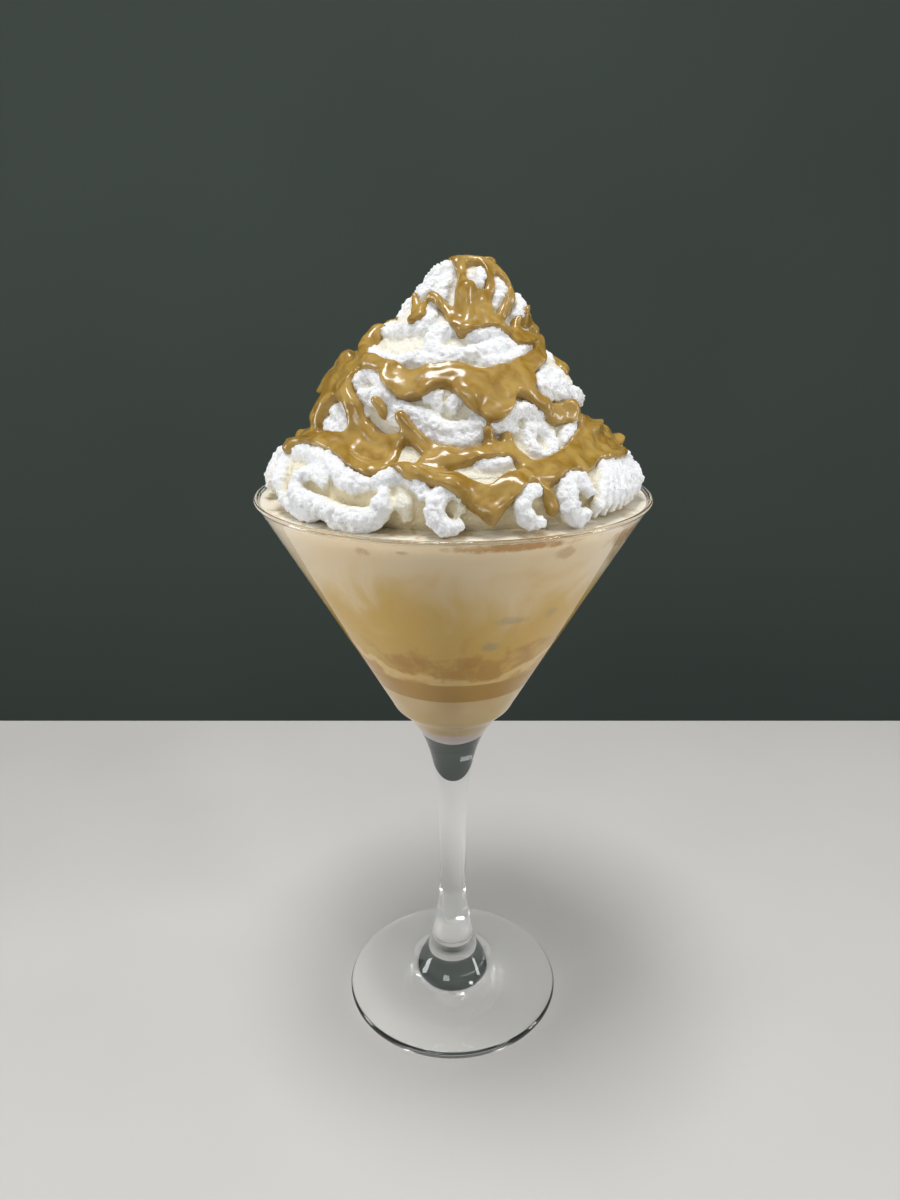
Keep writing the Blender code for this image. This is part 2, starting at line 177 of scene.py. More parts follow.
def turned(name: str, profile: list[tuple[float, float]], steps: int) -> bpy.types.Object:
    """Spins a closed solid from an outline that starts and ends on the axis.

    Args:
        name: The piece's name.
        profile: Points as radius and height, from the top of the axis outwards and down.
        steps: How many faces go round.

    Returns:
        The solid, with smooth faces that point outwards.
    """
    deselect()
    bpy.ops.mesh.primitive_plane_add(size=MM)
    piece = bpy.context.object
    piece.name = name
    bpy.ops.object.mode_set(mode="EDIT")
    bpy.ops.mesh.merge(type="CENTER")
    last = (0.0, 0.0)
    for step, (radius, height) in enumerate(profile):
        move = (radius - last[0], 0.0, height - last[1])
        if step == 0:
            bpy.ops.transform.translate(value=move)
        else:
            bpy.ops.mesh.extrude_region_move(TRANSFORM_OT_translate={"value": move})
        last = (radius, height)
    bpy.ops.mesh.select_all(action="SELECT")
    bpy.ops.mesh.spin(steps=steps, angle=2 * math.pi, center=(0, 0, 0), axis=(0, 0, 1))
    bpy.ops.mesh.select_all(action="SELECT")
    bpy.ops.mesh.remove_doubles(threshold=WELD_DISTANCE)
    bpy.ops.mesh.normals_make_consistent(inside=False)
    bpy.ops.object.mode_set(mode="OBJECT")
    bpy.ops.object.shade_smooth_by_angle(angle=math.radians(SHARP_ANGLE))
    return piece


def through(points: list[tuple[float, ...]], steps: int) -> np.ndarray:
    """A smooth line through given points.

    Args:
        points: The points to pass through, of any dimension.
        steps: How many places to give for each stretch between two points.

    Returns:
        The places on the line, one row each.
    """
    given = np.array(points, float)
    padded = np.vstack([2 * given[0] - given[1], given, 2 * given[-1] - given[-2]])
    rows = []
    for a, b, c, d in zip(padded, padded[1:], padded[2:], padded[3:]):
        for t in np.arange(steps) / steps:
            bend = (2 * a - 5 * b + 4 * c - d) * t**2 + (3 * b - a - 3 * c + d) * t**3
            rows.append((2 * b + (c - a) * t + bend) / 2)
    return np.array([*rows, given[-1]])


def neighbours(grid: np.ndarray) -> list[np.ndarray]:
    """A grid that closes on itself along its first side, moved by one place each way."""
    padded = np.pad(grid, ((0, 0), (1, 1)), mode="edge")
    width = grid.shape[1]
    return [np.roll(padded[:, k:k + width], shift, 0) for k in (0, 1, 2) for shift in (-1, 0, 1)]


@dataclass(frozen=True)
class Mark:
    """A soft-edged blotch on the bowl's front wall, and the share and colour that it is mixed in with."""

    across: float
    height: float
    half_width: float
    half_height: float
    share: float
    tone: tuple


class Shading:
    """One material's nodes, added and joined by name."""

    def __init__(self, name: str) -> None:
        """Starts a material with a bare Principled shader.

        Args:
            name: The material's name.
        """
        self.material = bpy.data.materials.new(name)
        self.material.use_nodes = True
        self.tree = self.material.node_tree
        self.shader = self.tree.nodes["Principled BSDF"]
        self.output = self.tree.nodes["Material Output"]
        self.place = self.add("ShaderNodeTexCoord").outputs["Object"]

    def add(self, kind: str, **values) -> bpy.types.Node:
        """Adds a node and sets its properties."""
        node = self.tree.nodes.new(kind)
        for name, value in values.items():
            setattr(node, name, value)
        return node

    def join(self, source: bpy.types.NodeSocket, target: bpy.types.NodeSocket) -> None:
        """Joins two sockets."""
        self.tree.links.new(source, target)

    def settings(self, **values) -> None:
        """Sets constants on the Principled shader, with underscores for the spaces in its names."""
        for name, value in values.items():
            self.shader.inputs[name.replace("_", " ")].default_value = value

    def noise(self, size: float, detail: float = 3.0, roughness: float = 0.5,
              distortion: float = 0.0) -> bpy.types.NodeSocket:
        """Adds a noise of a real size.

        Args:
            size: The size of a blotch in metres.
            detail: How many finer octaves it holds.
            roughness: How strong the finer octaves are.
            distortion: How much the pattern is swirled.

        Returns:
            The noise value.
        """
        node = self.add("ShaderNodeTexNoise")
        node.inputs["Scale"].default_value = 1 / size
        node.inputs["Detail"].default_value = detail
        node.inputs["Roughness"].default_value = roughness
        node.inputs["Distortion"].default_value = distortion
        self.join(self.place, node.inputs["Vector"])
        return node.outputs["Fac"]

    def ramp(self, value: bpy.types.NodeSocket, stops: list[tuple[float, tuple]]) -> bpy.types.NodeSocket:
        """Turns a value into colours.

        Args:
            value: The value to read.
            stops: Places from 0 to 1 with their colours.

        Returns:
            The colour.
        """
        node = self.add("ShaderNodeValToRGB")
        bars = node.color_ramp.elements
        while len(bars) < len(stops):
            bars.new(0.5)
        for bar, (place, colour) in zip(bars, stops):
            bar.position = place
            bar.color = colour
        self.join(value, node.inputs["Fac"])
        return node.outputs["Color"]

    def between(self, value: bpy.types.NodeSocket, low: float, high: float) -> bpy.types.NodeSocket:
        """Maps a stretch of a value smoothly onto 0 to 1."""
        node = self.add("ShaderNodeMapRange", interpolation_type="SMOOTHSTEP")
        node.inputs["From Min"].default_value = low
        node.inputs["From Max"].default_value = high
        self.join(value, node.inputs["Value"])
        return node.outputs["Result"]

    def split(self, vector: bpy.types.NodeSocket) -> bpy.types.NodeOutputs:
        """Splits a vector into its X, Y and Z."""
        node = self.add("ShaderNodeSeparateXYZ")
        self.join(vector, node.inputs[0])
        return node.outputs

    def maths(self, operation: str, first, second) -> bpy.types.NodeSocket:
        """Adds a calculation with two values, each a socket or a number."""
        node = self.add("ShaderNodeMath", operation=operation)
        for socket, value in zip(node.inputs, (first, second)):
            if isinstance(value, (int, float)):
                socket.default_value = value
            else:
                self.join(value, socket)
        return node.outputs["Value"]

    def swing(self, noise: bpy.types.NodeSocket, reach: float) -> bpy.types.NodeSocket:
        """Turns a noise of 0 to 1 into a shift either way, of the given reach in all."""
        return self.maths("MULTIPLY", self.maths("SUBTRACT", noise, 0.5), reach)

    def within(self, across: bpy.types.NodeSocket, level: bpy.types.NodeSocket,
               mark: Mark) -> bpy.types.NodeSocket:
        """Tells how far a place lies inside a mark with ragged edges.

        Args:
            across: The coordinate along X.
            level: The coordinate along Z.
            mark: The mark.

        Returns:
            The mark's strength, from 0 outside to 1 in the middle.
        """
        ragged = self.swing(self.noise(BLOTCH_GRAIN, detail=5.0, roughness=0.65), BLOTCH_RAGGEDNESS)
        dx = self.maths("DIVIDE", self.maths("SUBTRACT", across, mark.across * MM), mark.half_width * MM)
        dz = self.maths("DIVIDE", self.maths("SUBTRACT", level, mark.height * MM), mark.half_height * MM)
        away = self.maths("ADD", self.maths("MULTIPLY", dx, dx), self.maths("MULTIPLY", dz, dz))
        return self.between(self.maths("ADD", away, ragged), BLOTCH_EDGE, BLOTCH_CORE)

    def mixed(self, share: bpy.types.NodeSocket, first, second) -> bpy.types.NodeSocket:
        """Mixes two colours, each a socket or a constant, by a share."""
        node = self.add("ShaderNodeMix", data_type="RGBA")
        self.join(share, node.inputs["Factor"])
        colour_sockets = [socket for socket in node.inputs if socket.type == "RGBA"]
        for socket, value in zip(colour_sockets, (first, second)):
            if isinstance(value, tuple):
                socket.default_value = value
            else:
                self.join(value, socket)
        return [socket for socket in node.outputs if socket.type == "RGBA"][0]

    def relief(self, height: bpy.types.NodeSocket, depth: float, strength: float = 1.0,
               under: bpy.types.NodeSocket | None = None) -> bpy.types.NodeSocket:
        """Adds bump of a real depth and gives its normal."""
        node = self.add("ShaderNodeBump")
        node.inputs["Strength"].default_value = strength
        node.inputs["Distance"].default_value = depth
        self.join(height, node.inputs["Height"])
        if under:
            self.join(under, node.inputs["Normal"])
        return node.outputs["Normal"]


@dataclass(frozen=True)
class ClearGlass:
    """Polished clear glass that lets the lamps through to what it holds."""

    # The faint grey-green tint is partly the glass's own and partly painted shade that greys the foot.
    colour: tuple = (0.965, 0.975, 0.97, 1.0)
    roughness: float = 0.0
    ior: float = 1.5
    clarity: float = 0.9

    def build(self) -> bpy.types.Material:
        """Makes the material."""
        shading = Shading("clear glass")
        shading.settings(Base_Color=self.colour, Roughness=self.roughness, IOR=self.ior,
                         Transmission_Weight=1.0)
        light = shading.add("ShaderNodeLightPath")
        clear = shading.add("ShaderNodeBsdfTransparent")
        clear.inputs["Color"].default_value = (self.clarity,) * 3 + (1.0,)
        mix = shading.add("ShaderNodeMixShader")
        shading.join(light.outputs["Is Shadow Ray"], mix.inputs["Fac"])
        shading.join(shading.shader.outputs["BSDF"], mix.inputs[1])
        shading.join(clear.outputs["BSDF"], mix.inputs[2])
        shading.join(mix.outputs["Shader"], shading.output.inputs["Surface"])
        return shading.material


@dataclass(frozen=True)
class WhippedFinish:
    """Whipped cream: white torn ridges over smooth hollows, painted yellower as shade the deeper they lie."""

    ridge: tuple = tint(246, 247, 248)
    # Painted shade: the groove and hollow colours stand in for the shade in the cream's recesses.
    groove_shade: tuple = tint(244, 240, 224)
    hollow: tuple = tint(239, 227, 194)
    crumb_size: float = 1.1 * MM
    crumb_depth: float = 0.8 * MM
    pore_size: float = 0.45 * MM
    pore_depth: float = 0.16 * MM
    ridge_end: float = 0.12
    groove_at: float = 0.5
    hollow_start: float = 0.9

    def build(self) -> bpy.types.Material:
        """Makes the material."""
        shading = Shading("whipped cream")
        shading.settings(Roughness=0.5, Subsurface_Weight=0.25, Subsurface_Scale=1.5 * MM,
                         Subsurface_Radius=(1.0, 0.9, 0.7))
        # The ramp by depth under the ridges paints shade into the grooves and hollows.
        hidden = shading.add("ShaderNodeAttribute", attribute_name="hollow").outputs["Fac"]
        stops = [(self.ridge_end, self.ridge), (self.groove_at, self.groove_shade)]
        stops.append((self.hollow_start, self.hollow))
        shading.join(shading.ramp(hidden, stops), shading.shader.inputs["Base Color"])
        crumb = shading.noise(self.crumb_size, detail=4.0, roughness=0.65)
        pores = shading.noise(self.pore_size, detail=2.0)
        under = shading.relief(crumb, self.crumb_depth)
        normal = shading.relief(pores, self.pore_depth, strength=0.8, under=under)
        shading.join(normal, shading.shader.inputs["Normal"])
        return shading.material


@dataclass(frozen=True)
class SauceFinish:
    """Thick glossy caramel, a little cloudy."""

    body: tuple = tint(176, 144, 72)
    deep: tuple = tint(147, 112, 36)
    swirl_size: float = 6 * MM
    dimple_size: float = 4 * MM
    dimple_depth: float = 0.25 * MM
    deep_end: float = 0.36
    body_start: float = 0.62

    def build(self) -> bpy.types.Material:
        """Makes the material."""
        shading = Shading("caramel sauce")
        shading.settings(Roughness=0.26, Subsurface_Weight=0.2, Subsurface_Scale=1.0 * MM,
                         Subsurface_Radius=(1.0, 0.6, 0.25), Coat_Weight=0.3, Coat_Roughness=0.1)
        swirl = shading.noise(self.swirl_size, detail=3.0, distortion=1.0)
        colours = shading.ramp(swirl, [(self.deep_end, self.deep), (self.body_start, self.body)])
        shading.join(colours, shading.shader.inputs["Base Color"])
        dimples = shading.noise(self.dimple_size, detail=2.0)
        dimples = shading.relief(dimples, self.dimple_depth, strength=0.5)
        shading.join(dimples, shading.shader.inputs["Normal"])
        shading.join(dimples, shading.shader.inputs["Coat Normal"])
        return shading.material


@dataclass(frozen=True)
class IceCreamFinish:
    """Ice cream as seen through the bowl, and the level cream at the rim.

    It is pale above and turns golden and brown towards its foot, where a pale band runs round. Towards the
    bowl's sides it is painted paler, as painted light.
    """

    # The pale beige is partly the cream's own colour and partly painted shade of its sides below the whiter
    # top.
    pale: tuple = tint(228, 208, 172)
    golden: tuple = tint(208, 172, 76)
    brown: tuple = tint(178, 128, 22)
    band: tuple = tint(230, 202, 132)
    # Painted light: the paler colour laid on towards the bowl's sides.
    side: tuple = tint(240, 231, 216)
    film: tuple = tint(196, 170, 116)
    speck: tuple = tint(150, 136, 112)
    syrup: tuple = tint(170, 122, 44)
    top: tuple = tint(238, 231, 216)
    golden_from: float = 172 * MM
    golden_to: float = 147 * MM
    brown_from: float = 142 * MM
    brown_to: float = 131 * MM
    brown_share: float = 0.75
    cloud_size: float = 20 * MM
    cloud_swing: float = 52 * MM
    fine_size: float = 9 * MM
    fine_swing: float = 48 * MM
    band_height: float = 129.3 * MM
    band_rise: float = 8.0
    band_edge: float = 2.2 * MM
    band_core: float = 0.5 * MM
    band_share: float = 0.8
    wave_size: float = 17 * MM
    wave_swing: float = 15 * MM
    lit_side_from: float = 30 * MM
    lit_side_to: float = 50 * MM
    lit_side_share: float = 0.8
    top_from: float = 0.5
    top_to: float = 0.8
    streak_size: float = 7 * MM
    streak_from: float = 0.5
    streak_to: float = 0.62
    film_share: float = 0.6

    def marks(self) -> tuple[Mark, ...]:
        """Brown blotches, specks and syrup stains, from the foot up."""
        return (
            Mark(-11, 136, 9, 3.2, 0.75, self.brown), Mark(3.5, 137, 4, 2.6, 0.6, self.brown),
            Mark(21, 141, 6, 2.0, 0.7, self.brown), Mark(9, 143, 3, 2.2, 0.6, self.speck),
            Mark(14, 152, 5, 1.6, 0.4, self.speck), Mark(26, 152, 2.4, 1.8, 0.45, self.speck),
            Mark(-12, 174.4, 2.2, 0.8, 0.6, self.speck), Mark(15, 175.9, 17, 1.3, 0.95, self.syrup),
            Mark(-22, 174, 2, 1.4, 0.5, self.syrup), Mark(46, 172, 7, 3.0, 0.75, self.syrup),
            Mark(42, 166, 2.5, 4, 0.5, self.syrup), Mark(27, 172.5, 2.5, 2, 0.45, self.syrup),
        )

    def marbled(self, shading: Shading, level: bpy.types.NodeSocket) -> bpy.types.NodeSocket:
        """The colour by height, with cloudy borders.

        Args:
            shading: The material's nodes.
            level: The height.

        Returns:
            The colour.
        """
        cloud = shading.noise(self.cloud_size, detail=4.0, distortion=0.8)
        cloudy = shading.maths("ADD", level, shading.swing(cloud, self.cloud_swing))
        gold = shading.between(cloudy, self.golden_from, self.golden_to)
        colour = shading.mixed(gold, self.pale, self.golden)
        fine = shading.noise(self.fine_size, detail=5.0, roughness=0.65)
        ragged = shading.maths("ADD", level, shading.swing(fine, self.fine_swing))
        brown = shading.between(ragged, self.brown_from, self.brown_to)
        return shading.mixed(shading.maths("MULTIPLY", brown, self.brown_share), colour, self.brown)

    def banded(self, shading: Shading, level: bpy.types.NodeSocket, across: bpy.types.NodeSocket,
               colour: bpy.types.NodeSocket) -> bpy.types.NodeSocket:
        """Lays the pale band over a colour.

        Args:
            shading: The material's nodes.
            level: The height.
            across: The distance from the middle; the band rises with its square.
            colour: The colour under the band.

        Returns:
            The colour with the band.
        """
        wave = shading.swing(shading.noise(self.wave_size, detail=5.0, roughness=0.65), self.wave_swing)
        rise = shading.maths("MULTIPLY", shading.maths("MULTIPLY", across, across), self.band_rise)
        straight = shading.maths("SUBTRACT", shading.maths("ADD", level, wave), rise)
        away = shading.maths("ABSOLUTE", shading.maths("SUBTRACT", straight, self.band_height), 0.0)
        band = shading.between(away, self.band_edge, self.band_core)
        return shading.mixed(shading.maths("MULTIPLY", band, self.band_share), colour, self.band)

    def topped(self, shading: Shading, colour: bpy.types.NodeSocket) -> bpy.types.NodeSocket:
        """Gives faces that look up a whiter colour streaked with syrup film; the beige below is partly
        painted shade.

        Args:
            shading: The material's nodes.
            colour: The colour of all other faces.

        Returns:
            The colour of all faces.
        """
        facing = shading.split(shading.add("ShaderNodeNewGeometry").outputs["Normal"])
        # Painted shade, in part: faces that look up are whiter than the beige sides.
        upper = shading.between(facing["Z"], self.top_from, self.top_to)
        swirl = shading.noise(self.streak_size, detail=4.0, distortion=1.5)
        streak = shading.between(swirl, self.streak_from, self.streak_to)
        top = shading.mixed(shading.maths("MULTIPLY", streak, self.film_share), self.top, self.film)
        return shading.mixed(upper, colour, top)

    def build(self) -> bpy.types.Material:
        """Makes the material."""
        shading = Shading("marbled ice cream")
        shading.settings(Roughness=0.45, Subsurface_Weight=0.1, Subsurface_Scale=2 * MM)
        place = shading.split(shading.place)
        level, across = place["Z"], place["X"]
        colour = self.banded(shading, level, across, self.marbled(shading, level))
        # Painted light: the colour pales towards the bowl's sides.
        edge = shading.between(shading.maths("ABSOLUTE", across, 0.0), self.lit_side_from, self.lit_side_to)
        colour = shading.mixed(shading.maths("MULTIPLY", edge, self.lit_side_share), colour, self.side)
        for mark in self.marks():
            near = shading.within(across, level, mark)
            colour = shading.mixed(shading.maths("MULTIPLY", near, mark.share), colour, mark.tone)
        colour = self.topped(shading, colour)
        shading.join(colour, shading.shader.inputs["Base Color"])
        return shading.material


@dataclass(frozen=True)
class LayerFinish:
    """A smooth layer seen through the bowl, slightly clouded; its foot may get painted light for the glass
    bottom.
    """

    name: str
    body: tuple
    cloud: tuple
    roughness: float = 0.35
    # Painted light: a foot colour stands in for how the glass's thick bottom bends the light.
    foot: tuple | None = None
    foot_height: float = 103 * MM
    foot_fade: float = 1.5 * MM
    blotch: float = 9 * MM

    def build(self) -> bpy.types.Material:
        """Makes the material."""
        shading = Shading(self.name)
        shading.settings(Roughness=self.roughness)
        colours = shading.ramp(shading.noise(self.blotch), [(0.35, self.body), (0.7, self.cloud)])
        if self.foot:
            level = shading.split(shading.place)["Z"]
            low = shading.between(level, self.foot_height + self.foot_fade, self.foot_height)
            colours = shading.mixed(low, colours, self.foot)
        shading.join(colours, shading.shader.inputs["Base Color"])
        return shading.material


@dataclass(frozen=True)
class StageFinish:
    """A plain, faintly clouded board for the stage."""

    name: str
    body: tuple
    cloud: tuple
    roughness: float
    blotch: float
    detail: float

    def build(self) -> bpy.types.Material:
        """Makes the material."""
        shading = Shading(self.name)
        shading.settings(Roughness=self.roughness)
        clouds = shading.noise(self.blotch, self.detail)
        colours = shading.ramp(clouds, [(0.3, self.body), (0.7, self.cloud)])
        shading.join(colours, shading.shader.inputs["Base Color"])
        return shading.material


def settle(piece: bpy.types.Object, material: bpy.types.Material, slot: Slot, *nodes: str) -> None:
    """Dresses a finished piece and ties it to the frame.

    Args:
        piece: The piece.
        material: Its finish.
        slot: The record's slot for that finish; not used.
        *nodes: The CAD nodes that it stands for.
    """
    piece.data.materials.clear()
    piece.data.materials.append(material)
    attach(piece, ROOT)
    if nodes:
        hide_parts(*nodes)
    log.info("%s: %d faces", piece.name, len(piece.data.polygons))


@dataclass
class CocktailGlass:
    """The stemmed glass: a straight cone of a bowl on a drawn stem and a wide foot."""

    neck_radius: float = 18.2 * MM
    neck_height: float = 110.2 * MM
    wall: float = 1.3 * MM
    floor_height: float = 98.5 * MM
    floor_top: float = 112 * MM
    floor_power: float = 0.6
    floor_steps: int = 16
    stem_radius: float = 4.1 * MM
    stem_drops: tuple = (0, 3, 7, 11, 15, 20, 26, 34, 44)
    stem_steps: int = 6
    flare_length: float = 12.2 * MM
    foot_radius: float = 36 * MM
    foot_edge: float = 3.0 * MM
    kick_height: float = 1.0 * MM
    kick_stops: tuple = (0.0, 0.1, 0.3, 0.6, 1.0)
    base_ring_width: float = 4 * MM
    foot_profile: tuple = ((4.4, 42), (5.6, 30), (7.2, 21), (9.8, 14), (13.5, 9), (19, 6), (27, 4.2))
    straight_foot: float = 113 * MM
    steps: int = 144
    rim_steps: int = 10

    @property
    def slope(self) -> float:
        """How fast the cone widens with height."""
        return (RIM_RADIUS - self.neck_radius) / (RIM_HEIGHT - self.neck_height)

    def cone(self, height: float) -> float:
        """Outer radius of the cone at a height."""
        return self.neck_radius + self.slope * (height - self.neck_height)

    def hollow(self, height: float) -> float:
        """Inner radius of the bowl at a height."""
        across = self.wall * math.hypot(1, self.slope)
        if height >= self.floor_top:
            return self.cone(height) - across
        share = max(0.0, (height - self.floor_height) / (self.floor_top - self.floor_height))
        return (self.cone(self.floor_top) - across) * share**self.floor_power

    def floor_heights(self) -> list[float]:
        """Heights of the rings that round the hollow's floor."""
        rise = self.floor_top - self.floor_height
        shares = [step / self.floor_steps for step in range(self.floor_steps + 1)]
        return [self.floor_height + rise * share**2 for share in shares]

    def stem(self) -> list[tuple[float, float]]:
        """The stem's and foot's outer line, from the neck to the foot's edge."""
        stations = [(self.cone(self.straight_foot), self.straight_foot)]
        for drop in self.stem_drops:
            flare = math.exp(-drop * MM / self.flare_length)
            radius = self.stem_radius + (self.neck_radius - self.stem_radius) * flare
            stations.append((radius, self.neck_height - drop * MM))
        stations += [(radius * MM, height * MM) for radius, height in self.foot_profile]
        stations.append((self.foot_radius - self.foot_edge / 2, self.foot_edge))
        return [tuple(row) for row in through(stations, self.stem_steps)]

    def profile(self) -> list[tuple[float, float]]:
        """The whole outline, from the bowl's floor over the rim and down to the underside."""
        bead = self.wall / 2
        bead_height = RIM_HEIGHT - bead
        stops = (0.02, 0.2, 0.4, 0.6, 0.8, 0.97, 0.99)
        line = [(self.hollow(height), height) for height in self.floor_heights()]
        for share in stops:
            height = self.floor_top + (bead_height - self.floor_top) * share
            line.append((self.hollow(height), height))
        for step in range(self.rim_steps + 1):
            turn = math.pi * (1 - step / self.rim_steps)
            line.append((RIM_RADIUS - bead + bead * math.cos(turn), bead_height + bead * math.sin(turn)))
        for share in reversed(stops):
            height = self.straight_foot + (bead_height - self.straight_foot) * share
            line.append((self.cone(height), height))
        line += self.stem()
        edge = self.foot_edge / 2
        for step in range(1, self.rim_steps + 1):
            turn = math.pi * (0.5 - step / self.rim_steps)
            line.append((self.foot_radius - edge + edge * math.cos(turn), edge + edge * math.sin(turn)))
        ring = self.foot_radius - edge - self.base_ring_width
        for share in self.kick_stops:
            line.append((ring * (1 - share), self.kick_height * math.sin(share * math.pi / 2)))
        return line

    def build(self, finish: ClearGlass) -> None:
        """Spins the glass and dresses it."""
        piece = turned("clear_glass", self.profile(), self.steps)
        settle(piece, finish.build(), Slot.GLASS, "glass")


@dataclass
class Fillings:
    """The four layers in the bowl, each pressed just into its wall."""

    glass: CocktailGlass
    into_wall: float = 0.05 * MM
    base_top: float = 121.1 * MM
    caramel_top: float = 128.1 * MM
    marbled_top: float = 161.1 * MM
    cream_top: float = 177.3 * MM
    wall_steps: int = 12
    steps: int = 144

    def layer(self, name: str, bottom: float, top: float) -> bpy.types.Object:
        """Spins one layer between two heights."""
        heights = [height for height in self.glass.floor_heights() if bottom < height < top]
        heights += list(np.linspace(max(bottom, self.glass.floor_height), top, self.wall_steps))
        line = [(0.0, top)]
        for height in sorted(set(heights), reverse=True):
            radius = self.glass.hollow(height) + self.into_wall
            line.append((radius, height))
        line.append((0.0, bottom))
        return turned(name, line, self.steps)

    def build(self) -> None:
        """Makes and dresses the layers."""
        base = self.layer("pale_base_cream", self.glass.floor_height - self.into_wall, self.base_top)
        # Painted light: the pinkish grey foot stands in for the glass bottom's refraction.
        foot = tint(206, 190, 184)
        pale = LayerFinish("base cream", tint(200, 172, 118), tint(208, 184, 136), foot=foot)
        settle(base, pale.build(), Slot.PALE_CREAM, "base_cream")
        caramel = self.layer("caramel_syrup", self.base_top, self.caramel_top)
        syrup = LayerFinish("caramel syrup", tint(174, 130, 26), tint(180, 140, 42), roughness=0.25)
        settle(caramel, syrup.build(), Slot.CARAMEL, "caramel_layer")
        marbled = IceCreamFinish().build()
        lower = self.layer("marbled_ice_cream", self.caramel_top, self.marbled_top)
        settle(lower, marbled, Slot.CARAMEL_ICE_CREAM, "caramel_ice_cream")
        upper = self.layer("level_cream", self.marbled_top, self.cream_top)
        settle(upper, marbled, Slot.VANILLA_CREAM, "vanilla_cream")


@dataclass
class CreamOutline:
    """The whipped cream's overall shape, and places on it."""

    undercut: float = 4.5
    undercut_top: float = 10
    stations: tuple = (
        (-1.2, 52), (1.5, 54), (6, 54), (11, 50.5), (16, 43.5), (20, 39), (25, 37), (31, 35.5), (35, 31.5),
        (39, 26.5), (44, 22), (48, 19), (53, 15), (58, 11.5), (62, 8), (64, 4.5), (64.6, 0),
    )
    lean_start: float = 36
    lean_end: float = 58
    lean_by: float = 4.6

    def radius(self, height):
        """Radius at a height over the rim, both in millimetres."""
        heights, radii = zip(*self.stations)
        return np.interp(height, heights, radii)

    def core(self, height, inset):
        """Radius of the core under the strands, which draws in towards its foot."""
        drawn_in = self.undercut * np.clip(1 - height / self.undercut_top, 0, 1)
        return np.maximum(0.3, self.radius(height) - inset - drawn_in)

    def lean(self, height):
        """How far the peak leans towards +X at a height, in millimetres."""
        share = np.clip((height - self.lean_start) / (self.lean_end - self.lean_start), 0, 1)
        return self.lean_by * share**2 * (3 - 2 * share)

    def point(self, azimuth: float, height: float, depth: float) -> tuple[float, float, float]:
        """A place at a depth under the outline.

        Args:
            azimuth: Degrees from the front towards +X.
            height: Height over the rim in millimetres.
            depth: Depth under the outline in millimetres.

        Returns:
            The place in metres.
        """
        radius = max(0.0, float(self.radius(height)) - depth)
        turn = math.radians(azimuth)
        across = float(self.lean(height)) + radius * math.sin(turn)
        return (across * MM, -radius * math.cos(turn) * MM, RIM_HEIGHT + height * MM)


@dataclass(frozen=True)
class Strand:
    """One strand of piped cream, as places on the outline; it swells or thins evenly towards its end."""

    radius: float
    places: tuple
    depth: float = 2.5
    swell: float = 1.0


@dataclass(frozen=True)
class Curl:
    """A strand that is curled into an open ring."""

    azimuth: float
    height: float
    size: float
    radius: float
    start: float
    end: float
    depth: float = 2.5

    def strand(self, outline: CreamOutline) -> Strand:
        """The curl as a strand."""
        around = math.radians(1) * float(outline.radius(self.height))
        places = []
        for step in range(CURL_STEPS + 1):
            turn = math.radians(self.start + (self.end - self.start) * step / CURL_STEPS)
            across = self.size * math.cos(turn) / around
            places.append((self.azimuth + across, self.height + self.size * math.sin(turn)))
        return Strand(self.radius, tuple(places), self.depth)


@dataclass
class PipedRing:
    """One ring of piped cream over its own core.

    Attributes:
        name: The piece's name.
        floor: The height of its foot.
        ceiling: The height of its top.
        strands: The strands of the front.
        curls: The curls of the front.
        thickness: The radius of the far side's strands.
        curl_size: The radius of the far side's curls.
        middle: The height of the far side's curls.
        high: The height of the upper crest.
        low: The height of the lower crest.
        step: The degrees between a curl and the next swing.
        inset: How far the core lies under the outline.
        hidden_start: The azimuth where the far side starts.
        hidden_end: The azimuth where it ends.
    """

    name: str
    floor: float
    ceiling: float
    strands: tuple
    curls: tuple
    thickness: float
    curl_size: float
    middle: float
    high: float
    low: float
    step: float
    inset: float = 3.4
    hidden_start: float = 96
    hidden_end: float = 262


